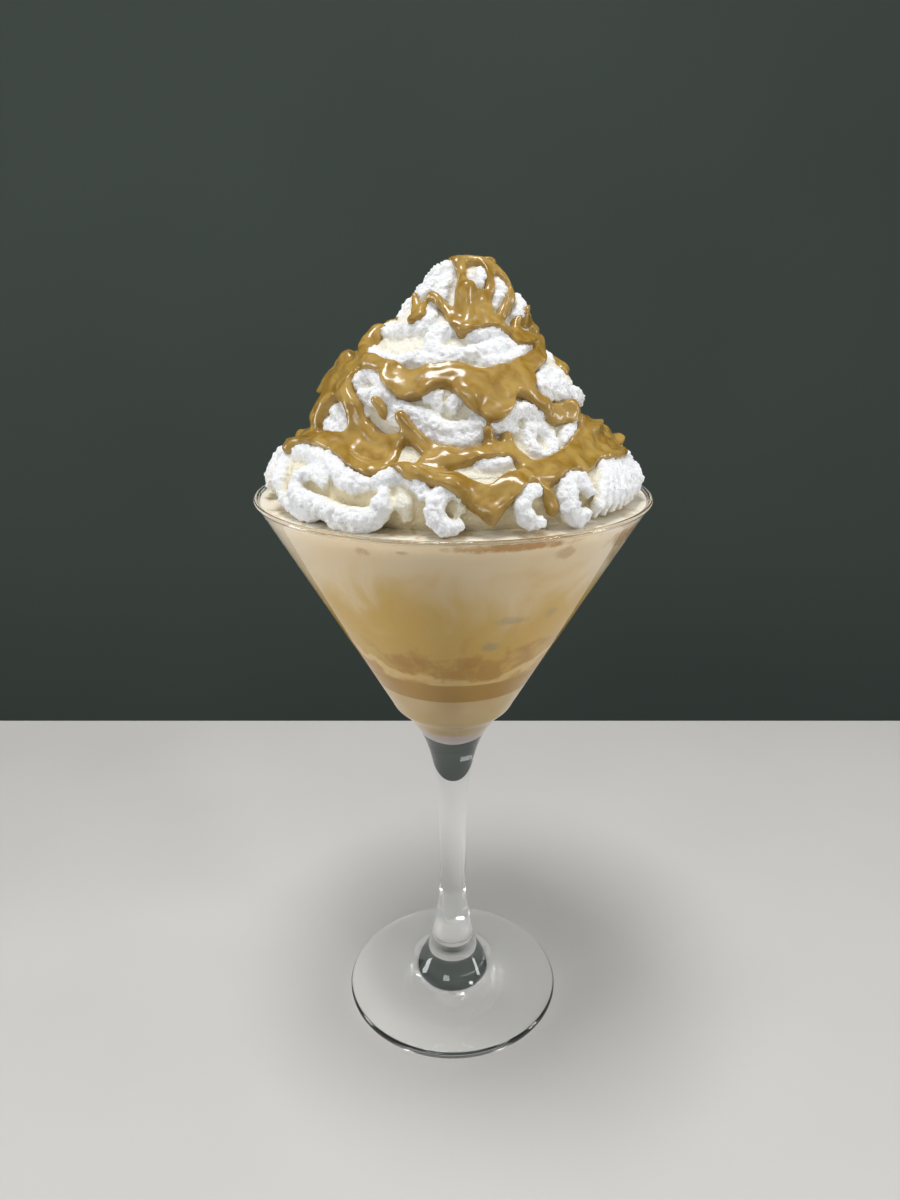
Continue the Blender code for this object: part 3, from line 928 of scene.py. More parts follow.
@dataclass
class WhippedCream:
    """Three ruffled rings and a leaning peak, piped round the sundae."""

    outline: CreamOutline
    rings: tuple
    voxel: float = 0.45 * MM
    spacing: float = 0.6 * MM
    ruffle: float = 0.055
    ruffle_pitch: float = 2.6
    tear: float = 1.6
    tip_radius: float = 0.55
    tip_growth: float = 0.45
    tip_length: float = 1.6
    hidden_turn: float = 285
    hidden_curl: float = 0.92
    crest_step: int = 12
    crest_overlap: int = 6
    crest_waves: int = 7
    crest_wave: float = 1.2
    lowest_crest: float = 1.6
    ridge_depth: float = 0.6
    hollow_depth: float = 4.2
    hollow_calm: float = 0.85
    fluff_levels: int = 10
    crumbs: tuple = (("lumps", 2.4, 1.5), ("crumbs", 0.9, 1.0))
    core_rows: int = 30
    core_steps: int = 96
    softening: int = 3
    seed: int = 7
    pieces: list = field(default_factory=list)

    def core(self, ring: PipedRing) -> bpy.types.Object:
        """The smooth body under a ring's strands."""
        heights = np.linspace(ring.ceiling, ring.floor, self.core_rows)
        line = [(0.0, RIM_HEIGHT + ring.ceiling * MM)]
        for height in heights:
            radius = float(self.outline.core(height, ring.inset))
            line.append((radius * MM, RIM_HEIGHT + height * MM))
        line.append((0.0, RIM_HEIGHT + ring.floor * MM))
        body = turned(ring.name, line, self.core_steps)
        points = coordinates(body.data)
        points[:, 0] += self.outline.lean((points[:, 2] - RIM_HEIGHT) / MM) * MM
        place_points(body.data, points)
        return body

    def hidden_strands(self, ring: PipedRing, draw: np.random.Generator) -> list[Strand]:
        """The ring's far side: curls and swings of the nozzle by turns, between two level crests."""
        strands = []
        azimuth = ring.hidden_start
        turn = 0
        while azimuth < ring.hidden_end:
            middle = ring.middle + draw.uniform(-0.8, 0.8)
            if turn % 2:
                start = draw.uniform(-30, 40)
                radius = ring.thickness * self.hidden_curl
                curl = Curl(azimuth, middle, ring.curl_size, radius, start, start + self.hidden_turn)
                strands.append(curl.strand(self.outline))
            else:
                reach = 0.45 * ring.step
                places = ((-reach, ring.high - 1), (-0.3 * reach, middle + 1), (0.4 * reach, middle - 2),
                          (reach, ring.low))
                strands.append(Strand(ring.thickness, tuple((azimuth + a, h) for a, h in places)))
            azimuth += ring.step * draw.uniform(0.9, 1.1)
            turn += 1
        first = int(ring.hidden_start) - self.crest_overlap
        last = int(ring.hidden_end) + self.crest_overlap
        for level in (ring.high, ring.low - 0.6 * ring.thickness):
            crest = []
            for azimuth in range(first, last, self.crest_step):
                wave = self.crest_wave * math.sin(math.radians(azimuth * self.crest_waves))
                height = level + (wave + draw.uniform(-0.5, 0.5))
                crest.append((azimuth, max(self.lowest_crest, height)))
            strands.append(Strand(ring.thickness, tuple(crest)))
        return strands

    def tubes(self, strands: list[Strand], draw: np.random.Generator) -> bpy.types.Object:
        """Strands as one mesh of tubes that thin towards their tips and pulse a little on the way."""
        deselect()
        bpy.ops.curve.primitive_bezier_curve_add()
        curve = bpy.context.object
        curve.data.splines.clear()
        curve.data.bevel_depth = MM
        curve.data.bevel_resolution = 4
        curve.data.use_fill_caps = True
        for strand in strands:
            route = through([self.outline.point(a, h, strand.depth) for a, h in strand.places], 10)
            lengths = np.concatenate([[0], np.cumsum(np.linalg.norm(np.diff(route, axis=0), axis=1))])
            even = np.linspace(0, lengths[-1], max(6, int(lengths[-1] / self.spacing)))
            route = np.column_stack([np.interp(even, lengths, column) for column in route.T])
            spline = curve.data.splines.new("POLY")
            spline.points.add(len(route) - 1)
            phase = draw.uniform(0, 2 * math.pi)
            rough = draw.uniform(-1, 1, len(route) + 2)
            rough = (rough[:-2] + rough[1:-1] + rough[2:]) / 3
            for step, (point, place) in enumerate(zip(spline.points, route)):
                end = min(even[step], lengths[-1] - even[step]) / (self.tip_length * strand.radius * MM)
                tip = min(1.0, self.tip_radius + self.tip_growth * end)
                wave = math.sin(phase + even[step] / MM * self.ruffle_pitch)
                pulse = 1 + self.ruffle * (wave + self.tear * rough[step])
                point.co = (*place, 1.0)
                grown = 1 + (strand.swell - 1) * even[step] / lengths[-1]
                point.radius = strand.radius * grown * tip * pulse
        bpy.ops.object.convert(target="MESH")
        return bpy.context.object

    def hollows(self, piece: bpy.types.Object) -> np.ndarray:
        """How deep each point lies under the ridges, from 0 on a ridge to 1 in a hollow."""
        points = coordinates(piece.data)
        heights = (points[:, 2] - RIM_HEIGHT) / MM
        across = points[:, 0] / MM - self.outline.lean(heights)
        radius = np.hypot(across, points[:, 1] / MM)
        depth = self.outline.radius(heights) - radius
        return np.clip((depth - self.ridge_depth) / self.hollow_depth, 0, 1)

    def fluff(self, piece: bpy.types.Object, hollow: np.ndarray) -> None:
        """Roughens the ridges into torn crumbs and leaves the hollows smooth."""
        group = piece.vertex_groups.new(name="ridges")
        strength = np.round((1 - self.hollow_calm * hollow) * self.fluff_levels)
        for level in range(self.fluff_levels + 1):
            chosen = np.flatnonzero(strength == level)
            if len(chosen):
                group.add(chosen.tolist(), level / self.fluff_levels, "REPLACE")
        for name, size, reach in self.crumbs:
            texture = bpy.data.textures.new(name, "CLOUDS")
            texture.noise_scale = size * MM
            texture.noise_depth = 2
            rough = piece.modifiers.new(name, "DISPLACE")
            rough.texture = texture
            rough.texture_coords = "LOCAL"
            rough.mid_level = 0.5
            rough.strength = reach * MM
            rough.vertex_group = "ridges"
        apply_all(piece)

    def pipe(self, ring: PipedRing, draw: np.random.Generator) -> bpy.types.Object:
        """Makes one ring: core and strands under one skin."""
        strands = list(ring.strands) + [curl.strand(self.outline) for curl in ring.curls]
        strands += self.hidden_strands(ring, draw)
        body = self.core(ring)
        tubes = self.tubes(strands, draw)
        deselect()
        tubes.select_set(True)
        body.select_set(True)
        bpy.context.view_layer.objects.active = body
        bpy.ops.object.join()
        reskin(body, self.voxel, self.softening)
        hollow = self.hollows(body)
        self.fluff(body, hollow)
        # The depth is kept on the mesh, where the cream's material paints shade by it.
        shade = body.data.attributes.new("hollow", "FLOAT", "POINT")
        shade.data.foreach_set("value", hollow)
        smooth_faces(body)
        return body

    def build(self, finish: WhippedFinish) -> None:
        """Pipes the rings and dresses them."""
        draw = np.random.default_rng(self.seed)
        material = finish.build()
        for ring in self.rings:
            piece = self.pipe(ring, draw)
            settle(piece, material, Slot.WHIPPED_CREAM, "whipped_cream")
            self.pieces.append(piece)


@dataclass(frozen=True)
class Pour:
    """One run of sauce: half its width, how thick it is, and where it goes."""

    half_width: float
    thickness: float
    places: tuple


@dataclass(frozen=True)
class SauceBand:
    """A wavy run of sauce round the far side; its drips reach half the drop or more."""

    height: float
    wave: float
    half_width: float
    drop: float
    start: int
    end: int


@dataclass
class CaramelSauce:
    """Thick sauce that bridges the strands and drips over the rings."""

    outline: CreamOutline
    cream: WhippedCream
    pours: tuple
    columns: int = 620
    row_step: float = 0.5
    web: float = 0.7
    weld: float = 0.45
    film: float = 0.85
    tuck: float = 0.9
    wall: float = 0.9
    voxel: float = 0.36 * MM
    softening: int = 12
    bands: tuple = (
        SauceBand(15.6, 1.6, 2.9, 9.0, 84, 292),
        SauceBand(35.2, 1.3, 2.7, 8.0, 102, 292),
        SauceBand(47.5, 2.4, 2.2, 5.0, 66, 256),
    )
    band_thickness: float = 2.0
    band_step: int = 12
    drip_step: int = 38
    ripples: tuple = ((7, 5.5), (13, 3.6), (23, 2.6), (41, 1.7))
    ripple_width: float = 0.09
    ripple_rise: float = 0.06
    edge_roll: float = 2.4
    edge_fall: float = 3.0
    search: float = 6 * MM
    deepest: float = -3.6
    bridge_rounds: int = 4
    level_rounds: int = 6
    seed: int = 11

    def line(self) -> tuple[np.ndarray, np.ndarray, np.ndarray]:
        """The outline as even steps: places, outward directions and lengths along it."""
        fine = through([(radius, height) for height, radius in self.outline.stations], 12)
        lengths = np.concatenate([[0], np.cumsum(np.hypot(*np.diff(fine, axis=0).T))])
        even = np.arange(0, lengths[-1], self.row_step)
        places = np.column_stack([np.interp(even, lengths, fine[:, 0]), np.interp(even, lengths, fine[:, 1])])
        ahead = np.gradient(places, axis=0)
        for _ in range(6):
            ahead = (ahead + np.roll(ahead, 1, 0) + np.roll(ahead, -1, 0)) / 3
        outward = np.column_stack([ahead[:, 1], -ahead[:, 0]])
        outward /= np.linalg.norm(outward, axis=1, keepdims=True)
        return places, outward, even

    def all_pours(self, draw: np.random.Generator) -> list[Pour]:
        """The pours in front, and bands with drips round the far side."""
        pours = list(self.pours)
        for band in self.bands:
            azimuths = range(band.start, band.end, self.band_step)
            run = [(azimuth, band.height + draw.uniform(-band.wave, band.wave)) for azimuth in azimuths]
            pours.append(Pour(band.half_width, self.band_thickness, tuple(run)))
            for azimuth in range(band.start + 22, band.end - 20, self.drip_step):
                side = azimuth + draw.uniform(-8, 8)
                reach = band.drop * draw.uniform(0.5, 1.0)
                drip = [(side + draw.uniform(-1, 1), band.height - reach * step / 2) for step in range(3)]
                pours.append(Pour(draw.uniform(1.5, 2.1), self.band_thickness, tuple(drip)))
        return pours

    def cover(self, places: np.ndarray, lengths: np.ndarray, turns: np.ndarray,
              draw: np.random.Generator) -> np.ndarray:
        """How thick the sauce lies at each place of the grid, below 0 where there is none."""
        radii = places[:, 0][None, :]
        shape = (len(turns), len(lengths))
        inside = np.full(shape, 1e-9)
        weighted = np.zeros(shape)
        domes = np.zeros(shape)
        ripple = np.zeros(shape)
        for waves, pitch in self.ripples:
            shift = draw.uniform(0, 6)
            ripple += np.sin(waves * turns[:, None] + shift) * np.cos(lengths[None, :] / pitch + shift) / 2
        for pour in self.all_pours(draw):
            route = through(pour.places, 5)
            route_turns = np.radians(route[:, 0])
            route_lengths = np.interp(route[:, 1], places[:, 1], lengths)
            stops = list(zip(route_turns, route_lengths))
            nearest = np.full(shape, 1e3)
            for (t1, s1), (t2, s2) in zip(stops, stops[1:]):
                near = np.abs(lengths - (s1 + s2) / 2) < abs(s2 - s1) / 2 + 4 * pour.half_width
                away = (turns[:, None] - t1 + math.pi) % (2 * math.pi) - math.pi
                dx = away * radii[:, near]
                dy = (lengths[near] - s1)[None, :]
                sx = (t2 - t1) * radii[:, near]
                sy = s2 - s1
                along = np.clip((dx * sx + dy * sy) / (sx**2 + sy**2 + 1e-9), 0, 1)
                gap = np.hypot(dx - along * sx, dy - along * sy)
                nearest[:, near] = np.minimum(nearest[:, near], gap)
            half = pour.half_width * (1 + self.ripple_width * ripple)
            pull = np.exp(np.clip((half - nearest) / self.web, -40, 12))
            inside += pull
            weighted += pull * pour.thickness
            dome = pour.thickness * np.sqrt(np.clip(1 - (nearest / half) ** 2, 0, None))
            domes += np.exp(dome / self.weld) - 1
        edge = self.web * np.log(inside)
        film = np.minimum(np.sqrt(np.clip(self.edge_roll * edge, 0, None)), 1) * self.film * weighted / inside
        rise = np.maximum(self.weld * np.log1p(domes), film) * (1 + self.ripple_rise * ripple)
        return np.where(edge > 0, rise, self.edge_fall * edge)

    def skin(self, base: np.ndarray, outward: np.ndarray) -> np.ndarray:
        """How far the cream's surface stands out from the outline at each place of the grid."""
        trees = []
        for piece in self.cream.pieces:
            piece.data.calc_loop_triangles()
            corners = np.empty(len(piece.data.loop_triangles) * 3, int)
            piece.data.loop_triangles.foreach_get("vertices", corners)
            points = coordinates(piece.data)
            trees.append(BVHTree.FromPolygons(points.tolist(), corners.reshape(-1, 3).tolist()))
        reach = self.search
        found = np.full(base.shape[:2], self.deepest)
        for i in range(base.shape[0]):
            for j in range(base.shape[1]):
                direction = Vector(outward[i, j])
                start = Vector(base[i, j]) + direction * reach
                for tree in trees:
                    hit = tree.ray_cast(start, -direction, 2 * reach)[3]
                    if hit is not None:
                        found[i, j] = max(found[i, j], (reach - hit) / MM)
        return found

    def bridged(self, level: np.ndarray) -> np.ndarray:
        """Fills the grooves between strands and softens what is left."""
        stages = ((np.max, self.bridge_rounds), (np.min, self.bridge_rounds), (np.mean, self.level_rounds))
        for blend, rounds in stages:
            for _ in range(rounds):
                level = blend(neighbours(level), axis=0)
        return level

    def slab(self, top: np.ndarray, bottom: np.ndarray, kept: np.ndarray) -> bpy.types.Object:
        """Joins the kept places of two grids into one closed slab.

        Args:
            top: The outer places, by column and row.
            bottom: The inner places, by column and row.
            kept: Which places to keep.

        Returns:
            The slab.
        """
        turn = [*range(kept.shape[0]), 0, 1]
        deselect()
        columns, rows = len(turn), kept.shape[1]
        bpy.ops.mesh.primitive_grid_add(x_subdivisions=rows - 1, y_subdivisions=columns - 1, size=1)
        piece = bpy.context.object
        piece.name = "caramel_sauce"
        mesh = piece.data
        place_points(mesh, top[turn].reshape(-1, 3))
        under = mesh.attributes.new("under", "FLOAT_VECTOR", "POINT")
        under.data.foreach_set("vector", bottom[turn].reshape(-1))
        mesh.polygons.foreach_set("select", np.zeros(len(mesh.polygons), bool))
        mesh.edges.foreach_set("select", np.zeros(len(mesh.edges), bool))
        mesh.vertices.foreach_set("select", ~kept[turn].reshape(-1))
        bpy.ops.object.mode_set(mode="EDIT")
        bpy.ops.mesh.select_mode(type="VERT")
        bpy.ops.mesh.delete(type="VERT")
        bpy.ops.mesh.select_all(action="SELECT")
        bpy.ops.mesh.delete_loose()
        bpy.ops.object.mode_set(mode="OBJECT")
        thick = piece.modifiers.new("thick", "SOLIDIFY")
        thick.thickness = self.wall * MM
        apply_all(piece)
        points = coordinates(mesh)
        half = len(points) // 2
        inner = np.empty(len(points) * 3)
        mesh.attributes["under"].data.foreach_get("vector", inner)
        points[half:] = inner.reshape(-1, 3)[half:]
        place_points(mesh, points)
        return piece

    def build(self, finish: SauceFinish) -> None:
        """Lays the sauce over the cream and dresses it."""
        draw = np.random.default_rng(self.seed)
        places, outward, lengths = self.line()
        turns = np.arange(self.columns) * 2 * math.pi / self.columns
        sines, cosines = np.sin(turns)[:, None], np.cos(turns)[:, None]
        radius, height = places[:, 0][None, :], places[:, 1][None, :]
        lean = self.outline.lean(height)
        base = np.stack([lean + radius * sines, -radius * cosines, height + 0 * sines], -1) * MM
        base[..., 2] += RIM_HEIGHT
        normal = np.stack([outward[:, 0] * sines, -outward[:, 0] * cosines, outward[:, 1] + 0 * sines], -1)
        thick = self.cover(places, lengths, turns, draw)
        cream = self.skin(base, normal)
        bridge = self.bridged(cream)
        kept = thick > -self.tuck
        top = base + normal * ((bridge + thick) * MM)[..., None]
        bottom = base + normal * ((bridge - self.tuck - self.wall) * MM)[..., None]
        piece = self.slab(top, bottom, kept)
        reskin(piece, self.voxel, self.softening)
        smooth_faces(piece)
        settle(piece, finish.build(), Slot.CARAMEL, "whipped_cream")


@dataclass(frozen=True)
class Lamp:
    """A soft box: where it stands, its sides, and its power in watts."""

    name: str
    place: tuple
    size: tuple
    energy: float
    target: tuple = (0.0, 0.0, 0.17)

    def build(self) -> None:
        """Hangs the lamp, hidden from the camera, and turns it to its target."""
        light = bpy.data.lights.new(self.name, "AREA")
        light.shape = "RECTANGLE"
        light.size, light.size_y = self.size
        light.energy = self.energy
        holder = bpy.data.objects.new(self.name, light)
        holder.location = self.place
        aim = Vector(self.target) - Vector(self.place)
        holder.rotation_euler = aim.to_track_quat("-Z", "Y").to_euler()
        holder.visible_camera = False
        bpy.context.scene.collection.objects.link(holder)


@dataclass
class Studio:
    """Floor, backdrop, soft lamps, sky and the camera."""

    lens: float = 26.5
    pitch: float = 19.42
    eye: tuple = (-0.0009, -0.2536, 0.2332)
    sensor: float = 36
    nearest: float = 0.01
    floor_back: float = 0.2
    board_size: float = 3.0
    backdrop_gap: float = 0.35
    backdrop_height: float = 0.2
    sky: tuple = tint(226, 228, 230)
    sky_strength: float = 0.5
    lamps: tuple = (
        Lamp("above", (-0.07, -0.06, 0.95), (0.26, 0.26), 4.2),
        Lamp("front", (-0.3, -0.85, 0.6), (0.3, 0.25), 1.5),
        Lamp("right", (0.75, -0.1, 0.2), (0.12, 0.4), 1.5),
        Lamp("left", (-0.8, 0.0, 0.16), (0.2, 0.4), 2.4),
        Lamp("high right", (0.5, -0.3, 0.6), (0.12, 0.12), 0.8),
    )

    def board(self, name: str, finish: StageFinish, place: tuple, tilt: float = 0.0) -> bpy.types.Object:
        """Adds one square board of the stage.

        Args:
            name: The board's name.
            finish: What it is made of.
            place: Its middle.
            tilt: How far it leans up from level, in radians.

        Returns:
            The board.
        """
        bpy.ops.mesh.primitive_plane_add(size=self.board_size, location=place, rotation=(tilt, 0, 0))
        piece = bpy.context.object
        piece.name = name
        piece.data.materials.append(finish.build())
        return piece

    def light_sky(self) -> None:
        """Adds the even light from all round."""
        world = bpy.data.worlds.new("sky")
        world.use_nodes = True
        background = world.node_tree.nodes["Background"]
        background.inputs["Color"].default_value = self.sky
        background.inputs["Strength"].default_value = self.sky_strength
        bpy.context.scene.world = world

    def place_camera(self) -> None:
        """Sets the camera at the photograph's place and angle."""
        camera = bpy.data.cameras.new("camera")
        camera.lens = self.lens
        camera.sensor_width = self.sensor
        camera.clip_start = self.nearest
        holder = bpy.data.objects.new("camera", camera)
        holder.location = self.eye
        holder.rotation_euler = (math.radians(90 - self.pitch), 0, 0)
        bpy.context.scene.collection.objects.link(holder)
        bpy.context.scene.camera = holder

    def build(self) -> None:
        """Sets the stage."""
        deselect()
        pale = StageFinish("pale floor", tint(205, 202, 198), tint(213, 211, 208),
                           roughness=0.5, blotch=0.2, detail=4.0)
        dark = StageFinish("grey board", tint(42, 52, 46), tint(48, 58, 52),
                           roughness=0.8, blotch=0.4, detail=2.0)
        floor = self.board("floor", pale, (0, self.floor_back - self.board_size / 2, 0))
        behind = (0, self.floor_back + self.backdrop_gap, self.backdrop_height)
        backdrop = self.board("backdrop", dark, behind, math.pi / 2)
        for lamp in self.lamps:
            lamp.build()
        self.light_sky()
        self.place_camera()
        bpy.context.scene.view_settings.view_transform = "Standard"


def lower_ring() -> PipedRing:
    """The ring at the rim: a folded ruffle at the left, open curls in front and a fan at the right."""
    fan = []
    for rib in range(FAN_RIBS):
        upper = ((59 + 2.0 * rib, 12.9), (51 + 3.2 * rib, 9.6))
        lower = ((45.5 + 4.0 * rib, 5.4), (43 + 4.4 * rib, 1.0))
        fan.append(Strand(1.7, upper + lower, 2.6))
    strands = (
        Strand(2.6, ((-80, 1.6), (-80, 4.5), (-86, 7.5), (-87, 10.3), (-81, 12.3), (-74, 12.6)), 2.8),
        Strand(2.5, ((-76, 12.6), (-69, 9.8), (-64, 6.9), (-60, 4.0)), 2.6),
        Strand(2.9, ((-78, 12.2), (-62, 13.9), (-51, 13.9), (-41, 12.8), (-34, 11.0), (-29, 10.2),
                     (-24, 10.6)), 3.0),
        Strand(1.9, ((-40, 8.6), (-43, 10.6), (-48, 11.2), (-52, 9.6), (-52, 7.0), (-48, 5.2),
                     (-42, 4.6)), 2.4, 1.5),
        Strand(2.7, ((-50, 5.6), (-44, 4.8), (-40, 4.3), (-35, 3.5), (-30, 3.0), (-25, 3.0), (-21, 4.0),
                     (-19.5, 7), (-20, 10)), 2.7),
        Strand(2.6, ((-25, 10.0), (-21, 11.6), (-16, 12.7), (-12, 12.2), (-9, 10.4), (-8, 8.2)), 2.7),
        Strand(2.4, ((-62, 4.0), (-54, 2.6), (-47, 1.6), (-41, 1.9)), 2.8),
        Strand(2.4, ((-39, 2.0), (-33, 1.3), (-28, 1.1), (-21, 1.8)), 2.9),
        Strand(2.6, ((-16, 9.5), (-14, 6.5), (-13, 2.5)), 5.2),
        Strand(1.8, ((3.5, 8.0), (1.5, 5.6), (0, 4.2)), 5.0),
        Strand(3.0, ((58, 9.5), (62, 6.0), (68, 3.4), (74, 2.2)), 4.6),
        *fan,
        Strand(2.6, ((87, 8.6), (79, 6.0), (76, 3.6), (77, 1.2)), 2.8),
        Strand(2.4, ((90, 4.6), (88, 2.2), (84, 1.2)), 2.6),
    )
    curls = (
        Curl(-1, 6.2, 4.0, 2.5, 35, 318, 2.3),
        Curl(22.4, 6.0, 3.7, 2.4, 55, 305, 2.2),
        Curl(37, 6.3, 4.3, 2.7, 5, 310, 2.1),
    )
    return PipedRing("cream_lower_ring", floor=-1.2, ceiling=21, strands=strands, curls=curls, thickness=2.6,
                     curl_size=3.6, middle=6.3, high=12.4, low=2.2, step=14)


def middle_ring() -> PipedRing:
    """The second ring: long swinging strands with small curls over them."""
    strands = (
        Strand(2.4, ((-47, 29.5), (-36, 29.2), (-27, 27.8), (-19, 26.4), (-11, 24.7), (-4, 22.7), (3, 22.4),
                     (10, 23.8), (20, 25.9), (32, 26.5), (43, 25))),
        Strand(2.3, ((-31, 26.3), (-22, 24.2), (-13, 21.9), (-4, 20.2), (3, 19.8), (9, 21.2), (16, 23.2),
                     (27, 22)), 2.9),
        Strand(2.2, ((-47, 30.6), (-49, 33.4), (-43, 34.6), (-34, 33), (-28, 30.4), (-25, 28.6)), 1.8),
        Strand(2.0, ((-11, 28.5), (-10.5, 31.4), (-7, 32.2))),
        Strand(1.9, ((-5, 26.4), (-7.5, 29.2), (-5, 31.5)), 2.9),
        Strand(2.6, ((66, 24), (54, 20.5), (46, 17.3))),
        Strand(2.5, ((-86, 29), (-76, 25.4), (-71, 22.2), (-58, 20.2), (-47, 19))),
        Strand(2.4, ((-74, 28), (-62, 25), (-50, 22.4), (-43, 19.5))),
        Strand(2.6, ((-88, 24.5), (-80, 21.4), (-68, 18.6)), 2.8),
        Strand(2.6, ((-60, 28.5), (-48, 26.4), (-38, 24.6)), 3.2),
        Strand(2.6, ((66, 34), (54, 32.5), (51, 30.4), (56, 28.6), (70, 28.2), (86, 25.2))),
        Strand(2.6, ((49, 37.0), (51, 34.2), (54, 31.4), (60, 28.8), (68, 26.0)), 2.2),
        Strand(2.6, ((46, 34), (44, 31), (48, 28)), 3.2),
        Strand(2.4, ((-92, 33.6), (-84, 35.4), (-72, 35))),
        Strand(2.4, ((6, 14.6), (13, 14.8), (20, 15.2)), 3.0),
        Strand(2.4, ((62, 17.2), (72, 17.8), (84, 18)), 2.8),
    )
    curls = (
        Curl(35, 18.9, 3.6, 2.1, -65, 265),
        Curl(4, 27.6, 2.8, 1.8, -30, 215),
    )
    return PipedRing("cream_middle_ring", floor=12, ceiling=38.5, strands=strands, curls=curls, thickness=2.4,
                     curl_size=3.3, middle=29.0, high=33.5, low=22.5, step=20, inset=3.2, hidden_start=112)


def upper_ring() -> PipedRing:
    """The third ring and the leaning peak."""
    strands = (
        Strand(2.5, ((-66, 44), (-84, 43), (-86, 41), (-74, 39.3), (-50, 37.6), (-32, 37.2), (-23, 38.0),
                     (-13, 37.6), (6, 38.9), (22, 40.2), (34, 41.2))),
        Strand(2.3, ((-68, 43.8), (-54, 44.3), (-41, 45.1), (-28, 45.8), (-20, 45.6))),
        Strand(2.6, ((-2, 45.8), (-12, 44.9), (-16, 42.6), (-12, 40.0), (-3, 38.8), (7, 39.2), (18, 39.6),
                     (30, 40.6), (41, 41.6)), 2.2),
        Strand(2.3, ((-2, 45.2), (12, 43.9), (26, 44.4), (39, 43.3)), 2.3),
        Strand(2.2, ((14, 38), (22, 37.2), (36, 38.0), (58, 40.6))),
        Strand(2.3, ((36, 38.7), (54, 40.2), (80, 41))),
        Strand(2.6, ((-20, 59.6), (-60, 59.6), (-89, 57.5), (-89, 54), (-89, 50.5)), 2.6),
        Strand(2.6, ((-41, 59.2), (-38, 56), (-35, 52.6), (-38, 49.6)), 2.6),
        Strand(2.4, ((-62, 59.5), (-62, 55), (-62, 51)), 2.0),
        Strand(2.4, ((-40, 50.2), (-30, 47.6), (-36, 45.6), (-50, 44.6)), 2.6),
        Strand(2.2, ((20, 60.0), (13, 57.6), (8, 54.6)), 2.4),
        Strand(2.4, ((-8, 58), (-4, 54), (2, 50)), 2.6),
        Strand(2.4, ((48, 58), (42, 54), (30, 50)), 2.8),
        Strand(2.4, ((88, 53), (66, 50), (50, 47.4)), 2.2),
        Strand(2.4, ((112, 48), (130, 54), (140, 60)), 2.2),
        Strand(2.4, ((160, 47), (158, 53), (152, 60)), 2.2),
        Strand(2.4, ((196, 47), (182, 53), (166, 59)), 2.2),
        Strand(2.4, ((236, 46), (222, 52), (214, 59)), 2.2),
        Strand(2.4, ((262, 47), (252, 53), (244, 59)), 2.2),
    )
    return PipedRing("cream_upper_ring", floor=30, ceiling=61.8, strands=strands, curls=(), thickness=2.3,
                     curl_size=3.0, middle=41.0, high=45.0, low=37.5, step=30, inset=2.6, hidden_start=106)


